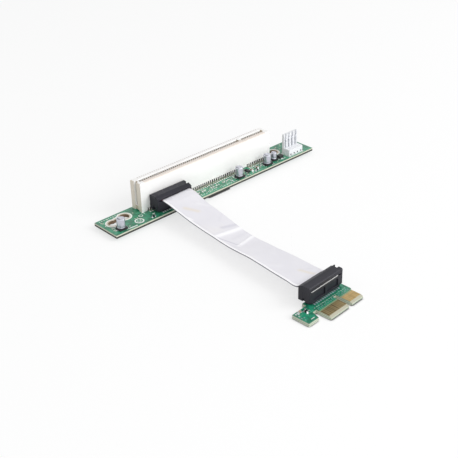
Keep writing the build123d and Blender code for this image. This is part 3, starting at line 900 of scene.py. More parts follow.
# Painted shade: solder darkened and greyed where it lies in the plug's shadow on the edge card
PAINTED_SHADE_SOLDER = MetalFinish("painted_shade_solder", (0.40, 0.46, 0.52), (0.20, 0.23, 0.27), 0.42)
LAMINATE = PrintFinish("bare_laminate", (0.60, 0.52, 0.42), (0.46, 0.38, 0.28))
INK = PrintFinish("white_print", (0.86, 0.88, 0.86), (0.50, 0.66, 0.58))
TRACK = PrintFinish("covered_track", (0.10, 0.40, 0.25), (0.05, 0.30, 0.18), 0.32)
FOIL = FoilFinish("silver_foil")
RIBBON = RibbonFinish("ribbon_plastic")


def dress(finish: Finish, *nodes: str) -> None:
    """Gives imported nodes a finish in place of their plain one.

    Args:
        finish: The finish.
        nodes: The nodes' names.
    """
    for name in nodes:
        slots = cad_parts[name].data.materials
        slots.clear()
        slots.append(finish.material())
        log.info("dressed %s in %s", name, finish.name)


def show(name: str, data: ObjectData) -> bpy.types.Object:
    """Puts a new object into the scene.

    Args:
        name: The object's name.
        data: Its mesh, light or camera.

    Returns:
        The object, at the origin.
    """
    thing = bpy.data.objects.new(name, data)
    bpy.context.scene.collection.objects.link(thing)
    return thing


def make_piece(
    name: str,
    shell: Shell,
    finish: Finish,
    smooth: bool = False,
    stands_for: Sequence[str] = (),
    attributes: Optional[dict[str, Array]] = None,
) -> bpy.types.Object:
    """Turns a shell into a finished piece of the part.

    Args:
        name: The piece's name.
        shell: Its points and faces.
        finish: Its finish.
        smooth: Whether its faces shade smoothly.
        stands_for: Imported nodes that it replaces.
        attributes: Numbers per point, by attribute name. The points then stay unmerged.

    Returns:
        The piece, riding on the part's one body.
    """
    mesh = bpy.data.meshes.new(name)
    mesh.from_pydata((np.concatenate(shell.points) * MM).tolist(), [], shell.faces)
    for key, values in (attributes or {}).items():
        layer = mesh.attributes.new(key, "FLOAT", "POINT")
        layer.data.foreach_set("value", np.asarray(values, np.float32).ravel())
    tidy = bmesh.new()
    tidy.from_mesh(mesh)
    if not attributes:
        bmesh.ops.remove_doubles(tidy, verts=tidy.verts, dist=1e-7)
    bmesh.ops.recalc_face_normals(tidy, faces=tidy.faces)
    tidy.to_mesh(mesh)
    tidy.free()
    mesh.polygons.foreach_set("use_smooth", np.full(len(mesh.polygons), smooth))
    mesh.materials.append(finish.material())
    piece = show(name, mesh)
    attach(piece, "root")
    if stands_for:
        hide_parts(*stands_for)
    log.info("built %s: %d faces", name, len(mesh.polygons))
    return piece


# The part's sub-assemblies


@dataclass
class CardSlot:
    """The upright slot housing and its two rows of contacts, with their pads on the riser board."""

    centre: float = 63.62
    front: float = 8.6
    pitch: float = 1.27
    positions: int = 62
    key: tuple[int, int] = (50, 51)
    foot_reach: float = 1.9
    pad: tuple[float, float] = (0.78, 2.3)
    pad_shift: float = 0.75
    track_width: float = 0.22
    straight: float = 0.5
    via: tuple[float, float] = (0.12, 0.3)
    toe_size: tuple[float, float, float] = (0.33, 0.34, 0.17)
    open_from: float = 48.2
    via_paths: tuple[Place, ...] = ((0.0, 1.15), (0.35, 2.1), (-0.3, 1.6))

    def contact_places(self) -> Array:
        """Places of the contacts along the board, without the two of the key.

        Returns:
            One place per contact: the centre plus a whole number of half pitches.
        """
        number = np.arange(1, self.positions + 1)
        kept = number[~np.isin(number, self.key)]
        return self.centre + (kept - (self.positions + 1) / 2) * self.pitch

    def build_pads(self) -> None:
        """Pads under the front feet, a solder toe at each, and tracks to vias clear of the plug."""
        pads, tracks = FlatWork(RISER_DECK, PAD_TOP), FlatWork(RISER_DECK, TRACK_TOP)
        dots = FlatWork(RISER_DECK, VIA_TOP)
        toe = self.front - self.foot_reach
        places = self.contact_places()
        for number, u in enumerate(places):
            pads.plate(u, toe + self.pad_shift, *self.pad)
            if u >= self.open_from:
                lean, reach = self.via_paths[number % 3]
                line = (u, u, u + lean), (toe, toe - self.straight, toe - reach)
                tracks.stroke(*line, self.track_width)
                dots.ring(u + lean, toe - reach, *self.via, 14)
        pads.piece("slot_contact_pads", SOLDER, Slot.SOLDER)
        tracks.piece("slot_tracks", TRACK, Slot.MASK)
        dots.piece("slot_vias", TIN, Slot.TIN)
        spots = np.stack([places, np.full(len(places), toe + 0.05)], 1)
        beads = bead_field(RISER_DECK, spots, self.toe_size)
        make_piece("slot_solder_toes", beads, SOLDER, smooth=True)

    def build(self) -> None:
        """Dresses the housing and contacts, and adds the pads."""
        dress(IVORY, "slot_housing")
        dress(CONTACT, "slot_contacts_front", "slot_contacts_rear")
        self.build_pads()


@dataclass(frozen=True)
class ViaField:
    """Vias strewn over part of a board, of which those in the kept corner stay."""

    u: tuple[float, float]
    v: tuple[float, float]
    count: int
    last_u: float
    first_v: float
    margin: float = 0.35
    radii: tuple[float, float] = (0.14, 0.34)


@dataclass
class RiserBoard:
    """The long board: lacquer, print round its openings, marks, tracks and small pads."""

    cans: Sequence["CanCapacitor"]
    lobes: tuple[Place, Place] = ((5.85, 10.4), (13.2, 11.9))
    lobe_radius: float = 2.3
    half_neck: float = 1.5
    hole: Place = (111.4, 11.5)
    hole_radius: float = 2.4
    bare: float = 0.7
    line: float = 0.75
    hem: float = 0.06
    stroke: float = 0.2
    seed: int = 7
    via_fields: tuple[ViaField, ...] = (
        ViaField((47, 107), (0.7, 5.6), 90, 107, 0.7, 0.85, (0.13, 0.3)),
        ViaField((1.2, 26), (0.8, 16), 36, 20.5, 1.8),
        ViaField((107, 129), (9.2, 16), 26, 129, 9.2),
    )

    def cutout_outline(self, margin: float, sides: int = 160) -> Array:
        """A line round the bone-shaped cut-out at an even margin.

        Seen from the middle of the neck, the line at each bearing is the farther of three: where
        the bearing leaves the first lobe's circle, the second's, or the neck's straight side.

        Args:
            margin: Distance of the line outside the cut.
            sides: Number of bearings.

        Returns:
            Two rows: places along and across the board.
        """
        ends = np.array(self.lobes)
        middle, half = ends.mean(0), (ends[1] - ends[0]) / 2
        reach, turn = np.hypot(*half), math.atan2(half[1], half[0])
        a = np.linspace(0, 2 * math.pi, sides, endpoint=False)
        ahead, aside = np.abs(np.cos(a)), np.abs(np.sin(a))
        radius, neck = self.lobe_radius + margin, self.half_neck + margin
        root = np.sqrt(np.maximum(radius**2 - (reach * aside) ** 2, 0))
        lobe = np.where(reach * aside <= radius, reach * ahead + root, 0)
        side = neck / np.maximum(aside, 1e-6)
        side = np.where(side * ahead <= reach, side, 0)
        far = np.maximum(lobe, side)
        return np.stack([middle[0] + far * np.cos(a + turn), middle[1] + far * np.sin(a + turn)])

    def clear(self, u: float, v: float, margin: float) -> bool:
        """Whether a place keeps clear of the cans and of the line round each opening.

        Args:
            u: Place along the board.
            v: Place across the board.
            margin: Distance that it has to keep.

        Returns:
            True where it does.
        """
        room = self.bare + self.line + margin
        openings = [(*place, self.lobe_radius + room) for place in self.lobes]
        openings += [(*self.hole, self.hole_radius + room)]
        openings += [(*can.place, can.radius + 0.15 + margin) for can in self.cans]
        return all(math.hypot(u - a, v - b) > reach for a, b, reach in openings)

    def build_openings(self) -> None:
        """Bare laminate round the cut-out and the hole, and a white line round that."""
        bare, ink = FlatWork(RISER_DECK, LAMINATE_TOP), FlatWork(RISER_DECK, PRINT_TOP)
        for work, start, low, high in (
            (bare, self.hem, 0.0, self.bare),
            (ink, self.bare, self.bare, self.bare + self.line),
        ):
            work.band(self.cutout_outline(start), self.cutout_outline(high))
            work.ring(*self.hole, self.hole_radius + low, self.hole_radius + high, 64)
        bare.piece("opening_laminate", LAMINATE, Slot.MASK)
        ink.piece("opening_print", INK, Slot.WHITE)

    def build_print(self) -> None:
        """White print: a target mark, bars and part outlines."""
        ink = FlatWork(RISER_DECK, PRINT_TOP)
        ink.ring(15.7, 3.6, 1.65, 2.3, 40)
        ink.disc(15.0, 3.9, 0.42)
        ink.disc(16.4, 3.9, 0.42)
        ink.plate(15.7, 2.75, 1.7, 0.32)
        ink.ring(19.0, 6.9, 0.75, 1.05, 28)
        ink.stroke((20.6, 21.6, 21.6), (8.6, 8.6, 7.2), 0.3)
        ink.stroke((8.1, 12.7), (1.25, 1.0), 0.62)
        ink.plate(24.6, 4.3, 1.3, 0.7)
        for can in self.cans:
            (u, v), r = can.place, can.radius + 0.6
            back = (u - r, u - r, u + r, u + r), (v + 0.9, v + r, v + r, v + 0.9)
            front = (u + r, u + r, u + 1.2), (v - 0.9, v - r + 0.1, v - r + 0.1)
            ink.stroke(*back, self.stroke)
            ink.stroke(*front, self.stroke)
        for left, right, front, back in ((113.1, 124.0, 0.9, 7.0), (107.6, 111.1, 1.9, 6.1)):
            box = (left, left, right, right, left), (front, back, back, front, front)
            ink.stroke(*box, self.stroke)
        for start, row, count, gap, stagger, length, width in (
            (50.0, 1.5, 5, 1.35, 0.25, 0.75, 0.34),
            (57.4, 2.6, 5, 1.35, 0.25, 0.75, 0.34),
            (66.0, 1.2, 5, 1.35, 0.25, 0.75, 0.34),
            (2.0, 15.6, 9, 1.25, 0.0, 0.72, 0.3),
            (106.2, 15.5, 4, 1.3, 0.0, 0.8, 0.3),
        ):
            for step in range(count):
                ink.plate(start + gap * step, row + stagger * (step % 2), length, width)
        ink.piece("board_print", INK, Slot.WHITE)

    def build_tracks(self) -> None:
        """Lacquered tracks that run in bundles with square-cornered jogs, and their vias."""
        tracks, dots = FlatWork(RISER_DECK, TRACK_TOP), FlatWork(RISER_DECK, VIA_TOP)
        for lane in range(4):
            v = 0.75 + 0.42 * lane
            for line in (
                ((47.0 + lane, 73.0 - lane, 73.7 - lane), (v, v, v + 0.7)),
                ((82.6 + lane, 96.2 - lane), (v, v)),
                ((19.0 + 0.6 * lane, 30.0, 30.8), (12.2 + v, 12.2 + v, 13.0 + v)),
            ):
                tracks.stroke(*line, self.stroke)
        for lane in range(3):
            v, half, more = 12.6 + 0.5 * lane, 0.5 * lane, 0.6 * lane
            for line, width in (
                (((22.4, 23.1 + lane, 118.0 - lane), (v - 0.5, v + 2.9, v + 2.9)), 0.21),
                (((1.2 + half, 1.2 + half, 3.4), (2.0, 12.2, 14.4 - half)), self.stroke),
                (((126.2 + more, 126.2 + more, 124.6), (1.4, 11.0, 13.6)), 0.22),
                (((18.6, 22.0 + lane), (9.2 + more, 9.2 + more)), self.stroke),
            ):
                tracks.stroke(*line, width)
        jog_u = np.array([105.6, 107.0, 107.9, 109.4, 110.2, 112.4, 113.4, 115.6])
        jog_v = np.array([15.5, 15.5, 14.7, 14.7, 15.5, 15.5, 14.6, 14.6])
        for lane in range(4):
            u, v = jog_u + 0.5 * lane, jog_v - 0.55 * lane
            kept = u > 106.3 + 0.9 * lane
            tracks.stroke(u[kept], v[kept] + 0.2 * (lane == 3), 0.24)
        spread = np.random.default_rng(self.seed)
        for vias in self.via_fields:
            places = zip(spread.uniform(*vias.u, vias.count), spread.uniform(*vias.v, vias.count))
            for u, v in places:
                if self.clear(u, v, vias.margin) and v > vias.first_v and u < vias.last_u:
                    dots.ring(u, v, *vias.radii)
        tracks.piece("board_tracks", TRACK, Slot.MASK)
        dots.piece("board_vias", TIN, Slot.TIN)

    def build_pads(self) -> None:
        """Solder pads under the small parts, each a little wider than its lead."""
        pads = FlatWork(RISER_DECK, PAD_TOP)
        for can in self.cans:
            for way in (-1, 1):
                pads.plate(can.place[0] + way * (can.radius + 0.45), can.place[1], 1.3, 1.1)
        for u, v, along in ((88.3, 4.0, 0), (92.3, 4.1, 0), (90.3, 2.0, 1), (22.7, 1.9, 1)):
            for way in (-0.85, 0.85):
                pads.plate(u + way * along, v + way * (1 - along), 1.05, 1.05)
        for v in (5.3, 2.7):
            pads.plate(109.3, v, 1.4, 1.1)
        for u, v in ((84.6, 3.63), (84.6, 5.57), (87.0, 4.6)):
            pads.plate(u, v, 0.9, 0.8)
        for step in range(7):
            pads.plate(73.2 + 0.01 * step, 0.9 + 0.62 * step, 0.9, 0.3)
        for u in (51.0, 55.2, 60.9, 64.4, 69.6, 95.4):
            for way in (0.0, 1.5):
                pads.plate(u + way, 4.4, 0.8, 0.9)
        pads.piece("board_pads", SOLDER, Slot.SOLDER)

    def build(self) -> None:
        """Dresses the board and adds its print, tracks and pads."""
        dress(RISER_BOARD, "riser_board")
        self.build_openings()
        self.build_print()
        self.build_tracks()
        self.build_pads()


@dataclass
class CableConnector:
    """A cable plug on its pin header, with the header's pads on the board."""

    name: str
    deck: Deck
    origin: Place
    facing: int
    row_centre: float
    solder: Finish
    columns: int = 13
    pitch: float = 1.27
    foot: float = 2.12
    pad: tuple[float, float] = (0.78, 1.1)
    toe_size: tuple[float, float, float] = (0.3, 0.42, 0.26)

    def build_pads(self) -> None:
        """Two rows of pads under the header's feet, and a solder toe at each foot."""
        pads = FlatWork(self.deck, PAD_TOP)
        step = (np.arange(self.columns) - (self.columns - 1) / 2) * self.pitch
        u = np.concatenate([self.origin[0] + step] * 2)
        rows = self.row_centre + np.repeat((-self.foot, self.foot), self.columns)
        places = np.stack([u, self.origin[1] + self.facing * rows], 1)
        for place in places:
            pads.plate(*place, *self.pad)
        pads.piece(f"{self.name}_header_pads", self.solder, Slot.SOLDER)
        beads = bead_field(self.deck, places, self.toe_size)
        make_piece(f"{self.name}_header_solder", beads, self.solder, smooth=True)

    def build(self) -> None:
        """Dresses the plug and header, and adds the pads."""
        black = ("header_base", "plug_body", "plug_cover")
        dress(BLACK, *(f"{self.name}_{node}" for node in black))
        dress(PIN, f"{self.name}_header_pins", f"{self.name}_plug_contacts")
        self.build_pads()


@dataclass
class CableRoute:
    """The smooth line that the cable follows between the two plugs, with its twist.

    A place on the cable is (s, w): the level distance from the riser's plug, and the distance
    across from the middle, with w growing towards the right. Each plug's open face lies askew
    to the line, by a slope of s over w.
    """

    start: Place = (-28.1, 48.05)
    way: Place = (-0.06057, -0.99816)
    askew: tuple[float, float] = (0.0607, 0.1006)
    length: float = 93.54
    half_width: float = 8.255
    heights: tuple[Place, ...] = (
        (-8.0, 9.1), (-3.0, 9.1), (0.0, 9.1), (3.0, 9.07), (6.0, 8.75), (10.0, 7.9), (14.0, 7.2),
        (20.0, 6.45), (26.0, 5.8), (32.0, 5.2), (38.0, 4.6), (44.0, 4.3), (50.0, 4.3), (56.0, 4.7),
        (62.0, 5.1), (68.0, 5.4), (74.0, 5.58), (80.0, 5.68), (86.0, 5.8), (90.0, 5.95),
        (91.5, 6.3), (93.54, 7.4), (96.0, 7.65), (101.0, 7.65),
    )
    twists: tuple[Place, ...] = (
        (-8.0, 0.0), (6.0, 0.0), (10.0, 0.3), (14.0, 0.5), (20.0, 0.45), (26.0, 0.6), (32.0, 0.9),
        (38.0, 1.3), (44.0, 1.35), (50.0, 1.3), (56.0, 1.25), (62.0, 1.3), (68.0, 1.0),
        (74.0, 0.7), (80.0, 0.5), (86.0, 0.4), (90.0, 0.1), (93.5, 0.0), (101.0, 0.0),
    )

    def stations(self, w: Array, inset: float, rows: int) -> Array:
        """Places along the cable, evenly spaced between the two plugs' open faces.

        Args:
            w: Distances across the cable, one per column.
            inset: How far inside the faces the first and last rows lie; less than 0 is outside.
            rows: Number of rows.

        Returns:
            The distance s of each row and column.
        """
        first, last = inset - w * self.askew[0], self.length - inset - w * self.askew[1]
        return first + (last - first) * np.linspace(0, 1, rows)[:, None]

    def points(self, s: Array, w: Array, lift: Array) -> Array:
        """Points at a height over the cable's middle surface.

        The middle surface has height(s) − twist(s) · w / half width. The lift is taken square to
        the line in its upright plane, so a slope moves the point back along the line.

        Args:
            s: Level distance along the cable.
            w: Distance across it.
            lift: Height over the middle surface.

        Returns:
            Points of the model's frame.
        """
        knots, level = np.array(self.heights).T
        turns, lean = np.array(self.twists).T
        height = smooth_line(knots, level, s)
        slope = (smooth_line(knots, level, s + 0.05) - height) / 0.05
        size = np.sqrt(1 + slope**2)
        along = s - lift * slope / size
        z = height - smooth_line(turns, lean, s) * w / self.half_width + lift / size
        x = self.start[0] + along * self.way[0] - w * self.way[1]
        y = self.start[1] + along * self.way[1] + w * self.way[0]
        return np.stack([x, y, z], -1)


@dataclass
class FlatCable:
    """Twenty-six conductors side by side, cut off flush with each plug's blind face."""

    route: CableRoute
    conductors: int = 26
    pitch: float = 0.635
    radius: float = 0.3175
    web: float = 0.17
    rim: float = 0.05
    columns: int = 8
    inset: float = 0.04
    plug_depth: float = 5.9
    rows: int = 92

    def section(self) -> tuple[Array, Array]:
        """The cut face's outline, once round.

        Over one conductor the half thickness is the circle's √(r² − x²), and no less than the
        web's. The outline goes over the top from left to right and back underneath.

        Returns:
            Places across the cable, and heights over its middle.
        """
        half = self.conductors * self.pitch / 2
        w = np.linspace(-half, half, self.conductors * self.columns + 1)
        x = (w + half) % self.pitch - self.pitch / 2
        bulge = np.maximum(np.sqrt(np.maximum(self.radius**2 - x**2, 0)), self.web)
        bulge[[0, -1]] = self.rim
        return np.concatenate([w, w[::-1]]), np.concatenate([bulge, -bulge[::-1]])

    def build(self) -> bpy.types.Object:
        """Carries the outline along the route and closes both cut ends.

        Returns:
            The cable.
        """
        w, lift = self.section()
        s = self.route.stations(w, self.inset - self.plug_depth, self.rows)
        across, over = np.broadcast_to(w, s.shape), np.broadcast_to(lift, s.shape)
        ends = (range(len(w)), range(s.size - 1, s.size - len(w) - 1, -1))
        shell = Shell()
        shell.grow(self.route.points(s, across, over), grid_faces(self.rows, len(w)), ends)
        edge = self.pitch - self.conductors * self.pitch / 2
        shown = (s > -1.0) & (s < self.route.length + 1.0)
        marks = {"stripe": (across < edge) * shown.astype(float)}
        nodes = ("flat_cable",)
        return make_piece("flat_cable_ribbon", shell, RIBBON, True, nodes, marks)


@dataclass(frozen=True)
class Fold:
    """A crease or stain on the wrap: its ends, width on either side, height, and painted light, a
    painted highlight above zero and painted shade below.
    """

    start: Place
    finish: Place
    before: float
    after: float
    height: float = 0.0
    painted_light: float = 0.0

    def profile(self, s: Array, w: Array) -> Array:
        """Share of the fold at a place.

        It is e to the minus square of the distance from the fold's line over its width on that
        side, and it fades in the same way past the line's two ends.

        Args:
            s: Places along the cable.
            w: Places across it.

        Returns:
            A share from 0 to 1.
        """
        a, b = np.array(self.start), np.array(self.finish)
        run = b - a
        size = float(np.hypot(*run))
        away = ((s - a[0]) * run[1] - (w - a[1]) * run[0]) / size
        far = ((s - a[0]) * run[0] + (w - a[1]) * run[1]) / size
        past = np.maximum(np.maximum(-far, far - size), 0) / 1.2
        away = np.where(away < 0, away / self.before, away / self.after)
        return np.exp(-(away**2) - past**2)


@dataclass
class FoilWrap:
    """The foil folded round the cable's free length, with its creases and its lapped seam."""

    route: CableRoute
    half_width: float = 8.44
    half_thickness: float = 0.455
    film: float = 0.08
    gap: float = 0.3
    rows: int = 300
    columns: int = 56
    rim: float = 0.8
    ripple: float = 0.035
    seam: float = 1.5
    # Each fold's last number is painted light: above zero a painted highlight, below zero painted
    # shade
    folds: tuple[Fold, ...] = (
        Fold((39.1, -6.6), (37.7, 7.8), 1.2, 1.6, 0.30, 0.5),
        Fold((33.9, 0.3), (34.7, 9.4), 1.2, 1.6, 0.10, -0.28),
        Fold((51.0, -4.2), (46.5, 7.4), 0.8, 1.1, 0.22, 0.42),
        Fold((40.5, -7.4), (50.2, -4.0), 0.35, 0.45, 0.10, -0.45),
        Fold((44.6, -2.0), (42.0, 8.2), 1.6, 1.4, 0.04, -0.14),
        Fold((19.9, -7.2), (21.6, -6.85), 0.35, 0.45, 0.10, 0.45),
        Fold((21.8, -6.6), (38.8, -6.1), 0.30, 0.35, 0.05, -0.14),
        Fold((12.0, 3.5), (17.0, 8.2), 0.8, 1.4, 0.12, 0.14),
        Fold((24.0, 8.6), (29.0, 3.0), 1.0, 1.4, 0.08, -0.10),
        Fold((7.0, -8.0), (6.2, 8.0), 1.4, 2.2, 0.05, 0.10),
        Fold((60.0, 8.4), (66.0, 2.5), 1.0, 1.6, 0.08, 0.10),
        Fold((71.0, -8.0), (76.0, -3.0), 1.1, 1.5, 0.07, 0.12),
        Fold((84.0, 2.0), (86.5, 8.2), 1.0, 1.3, 0.10, -0.10),
    )
    stains: tuple[Fold, ...] = (
        Fold((12.3, -3.8), (17.0, -0.3), 1.2, 1.2),
        Fold((84.0, 1.2), (89.5, 3.4), 0.9, 0.9),
    )

    def section(self) -> tuple[Array, Array]:
        """The wrap's outline, once round: flat above and below, with a half circle at each side.

        Returns:
            Places across the cable, and heights over its middle.
        """
        a = np.radians(np.linspace(90, -90, 11)[1:-1])
        level = self.half_width - self.half_thickness
        flat = np.linspace(-1, 1, self.columns) * level
        side, rise = level + self.half_thickness * np.cos(a), self.half_thickness * np.sin(a)
        top = np.full(self.columns, self.half_thickness)
        w = np.concatenate([flat, side, flat[::-1], -side[::-1]])
        return w, np.concatenate([top, rise, -top, rise[::-1]])

    def crease(self, s: Array, w: Array, lift: Array) -> tuple[Array, Array]:
        """Adds the folds, a ripple and the lapped seam to the smooth outline.

        Each fold raises the upper face by its height and moves the lower face by half of that. The
        ripple is a product of two slanting sines, and the seam is a smooth step below the middle.

        Args:
            s: Places along the cable.
            w: Places across it.
            lift: The outline's heights.

        Returns:
            The creased heights, and the fold attribute of painted light.
        """
        share = np.clip(lift / self.half_thickness, -1, 1)
        over, painted_light = lift.copy(), np.full(s.shape, 0.5)
        for fold in self.folds:
            mark = fold.profile(s, w)
            over += share * mark * fold.height * np.where(share > 0, 1, 0.5)
            # Painted light: each fold adds its painted highlight or painted shade on the upper face
            painted_light += np.where(share > 0.2, mark * fold.painted_light, 0)
        ripple = self.ripple * np.sin(s * 0.55 + w * 0.31) * np.sin(w * 0.45 - s * 0.13)
        over += np.maximum(share, 0) * (ripple + self.ripple)
        over -= smooth_step((w - self.seam) / 0.3) * (share < -0.5) * self.film
        # Painted light along the near rim: a painted highlight on its upper part and painted shade
        # on its lower side
        near = w < self.rim - self.half_width
        painted_light = np.where(near & (share > 0.45), 1.0, np.clip(painted_light, 0.0, 1.0))
        return over, np.where(near & (share < 0.45) & (share > -0.97), -0.5, painted_light)

    def build(self, ribbon: bpy.types.Object) -> None:
        """Carries the outline along the route, creases it and gives the film its thickness.

        Args:
            ribbon: The cable that the wrap lies on; not used.
        """
        w, lift = self.section()
        s = self.route.stations(w, self.gap, self.rows)
        across, level = np.broadcast_to(w, s.shape), np.broadcast_to(lift, s.shape)
        over, painted_light = self.crease(s, across, level)
        warm = sum(stain.profile(s, across) for stain in self.stains)
        warm = warm * (level > 0.2 * self.half_thickness)
        shell = Shell()
        shell.grow(self.route.points(s, across, over), grid_faces(self.rows, len(w)))
        marks = {"fold": painted_light, "warm": warm}
        wrap = make_piece("foil_sleeve", shell, FOIL, True, ("foil_wrap",), marks)
        wall = wrap.modifiers.new("film", "SOLIDIFY")
        wall.thickness = self.film * MM
        wall.offset = -1.0


@dataclass
class EdgeCard:
    """The small card with gold fingers: lacquer, bare laminate at the fingers, print and pads."""

    via: tuple[float, float] = (0.12, 0.28)
    finger_track: float = 0.3
    lead: float = 0.85

    def build_marks(self) -> None:
        """Small pads, vias and print between the plug and the fingers, and on the tab."""
        ink, pads = FlatWork(EDGE_DECK, PRINT_TOP), FlatWork(EDGE_DECK, PAD_TOP)
        dots, tracks = FlatWork(EDGE_DECK, VIA_TOP), FlatWork(EDGE_DECK, TRACK_TOP)
        for step in range(11):
            u, odd = 0.65 + step, step % 2
            line = (u, u, u + 0.25), (5.5, 6.6, 7.2 + 0.5 * odd)
            tracks.stroke(*line, self.finger_track)
            dots.ring(u + 0.25, 7.4 + 0.5 * odd, *self.via)
        for step in range(7):
            u, odd = 13.75 + step, step % 2
            tracks.stroke((u, u, u - 0.2), (5.5, 6.4, 7.2), self.finger_track)
            dots.ring(u - 0.2, 7.3 + 0.45 * odd, *self.via)
        for step in range(16):
            ink.plate(0.4 + 1.27 * step, 8.75, 0.5, 0.2)
        ink.plate(-5.2, 5.0, 2.0, 0.3)
        for u, v in ((-7.9, 11.3), (-7.9, 9.7), (-2.2, 11.3), (-2.2, 9.5)):
            pads.plate(u, v, 0.7, 0.7)
        for way in (-self.lead, self.lead):
            pads.plate(-5.9 + way, 11.2, 1.0, 1.1)
        for way in (-self.lead, self.lead):
            pads.plate(-3.9, 9.6 + way, 1.1, 1.0)
        for u, v in ((-8.3, 7.9), (-7.2, 7.6), (-8.0, 6.3)):
            dots.ring(u, v, 0.14, 0.32)
        tracks.stroke((-8.3, -8.3, -6.0), (7.9, 9.2, 9.6), 0.22)
        tracks.stroke((-5.3, -4.0, -0.8), (7.3, 8.3, 8.3), 0.22)
        ink.piece("edge_print", INK, Slot.WHITE)
        pads.piece("edge_pads", SOLDER, Slot.SOLDER)
        dots.piece("edge_vias", PAINTED_SHADE_SOLDER, Slot.SOLDER)
        tracks.piece("edge_tracks", TRACK, Slot.MASK)

    def build(self) -> None:
        """Dresses the card, its fingers and its small parts, and adds its marks."""
        dress(EDGE_BOARD, "edge_card")
        dress(FINGERS, "finger_pads_top", "finger_pads_bottom")
        dress(CERAMIC, "edge_chip_capacitor_bodies")
        dress(RESISTIVE, "edge_chip_resistor_bodies")
        dress(SOLDER, "edge_chip_capacitor_ends", "edge_chip_resistor_ends")
        self.build_marks()


@dataclass
class CanCapacitor:
    """A round can on a black base: beaded above the base, rolled at the rim, with a marked lid."""

    number: int
    place: Place
    radius: float = 2.0
    height: float = 5.4
    base: float = 0.9
    roll: float = 0.3
    bead: float = 1.5
    bead_reach: float = 0.32
    bead_depth: float = 0.15
    sunk: float = 0.06

    def profile(self) -> tuple[Array, Array]:
        """Half of the can's section, from the base's middle out, up the side and over the lid.

        The bead is a dip of half its depth times one plus the cosine across it. The rim is a
        quarter circle, and the lid is sunk below it from four fifths of the radius in.

        Returns:
            Radii and heights above the board.
        """
        shoulder = self.height - self.roll
        side = np.linspace(self.base, shoulder, 26)
        x = np.clip((side - self.bead) / self.bead_reach, -1, 1)
        wall = self.radius - self.bead_depth / 2 * (1 + np.cos(math.pi * x))
        a = np.radians(np.linspace(10, 90, 8))
        rim = self.radius - self.roll + self.roll * np.cos(a)
        radii = np.concatenate([[0.0], wall, rim, self.radius * np.array([0.8, 0.75, 0.4, 0.0])])
        lid = self.height - np.array([0.01, self.sunk, self.sunk, self.sunk])
        heights = np.concatenate([[self.base], side, shoulder + self.roll * np.sin(a), lid])
        return radii, heights

    def build(self) -> None:
        """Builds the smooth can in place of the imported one, and dresses base and terminals."""
        x, y = RISER_DECK.lay(*self.place, 0.0)[:2].tolist()
        radii, heights = self.profile()
        lid = RISER_DECK.z + self.height
        finish = CanFinish(f"can_metal_{self.number}", (x, y), lid, self.radius)
        shell = turned((x, y), radii, RISER_DECK.z + heights)
        node = f"capacitor_{self.number}_can"
        make_piece(f"{node}_shell", shell, finish, smooth=True, stands_for=(node,))
        dress(CHIP, f"capacitor_{self.number}_base")
        dress(SOLDER, f"capacitor_{self.number}_terminals")


@dataclass
class PowerHeader:
    """The white header at the right end: grooved wall, four pins, and a port at each foot."""

    left: float = 113.5
    front: float = 1.3
    length: float = 10.1
    pins: int = 4
    pitch: float = 2.5
    sill: float = 0.47
    port: tuple[float, float] = (0.84, 0.5)
    port_depth: float = 0.6
    port_height: float = 0.86

    def build(self) -> None:
        """Dresses the header and its pins, and puts a dark plate of painted shade at the back of
        each of the four ports.
        """
        dress(WHITE, "power_header")
        dress(POWER_PIN, "power_header_pins")
        raised = Deck(RISER_DECK.x, RISER_DECK.y, RISER_DECK.z + self.sill)
        ports = FlatWork(raised, self.port_height)
        middle = self.left + self.length / 2
        for u in middle + (np.arange(self.pins) - (self.pins - 1) / 2) * self.pitch:
            # Painted shade: a near-black plate in each port
            ports.plate(u, self.front + self.port_depth, *self.port)
        ports.piece("power_port_shade_plates", PAINTED_PORT_SHADE, Slot.BLACK)


@dataclass
class SmallParts:
    """The bridge chip, the regulator, the diode and the chip parts on the riser board."""

    def build(self) -> None:
        """Dresses each group in its own finish."""
        dress(CHIP, "bridge_chip", "regulator_body", "diode_body")
        dress(TIN, "bridge_chip_leads")
        dress(SOLDER, "regulator_leads", "diode_leads")
        dress(CERAMIC, "riser_chip_capacitor_bodies")
        dress(RESISTIVE, "riser_chip_resistor_bodies")
        dress(SOLDER, "riser_chip_capacitor_ends", "riser_chip_resistor_ends")


# The studio


@dataclass(frozen=True)
class Lamp:
    """A square soft lamp that looks at the middle of the part."""

    name: str
    place: tuple[float, float, float]
    size: float
    power: float
    colour: Colour = (1.0, 1.0, 1.0)

    def build(self) -> None:
        """Hangs the lamp, with its face turned to the part."""
        light = bpy.data.lights.new(self.name, "AREA")
        light.size, light.energy, light.color = self.size, self.power, self.colour
        lamp = show(self.name, light)
        lamp.location = self.place
        lamp.rotation_euler = (-Vector(self.place)).to_track_quat("-Z", "Y").to_euler()


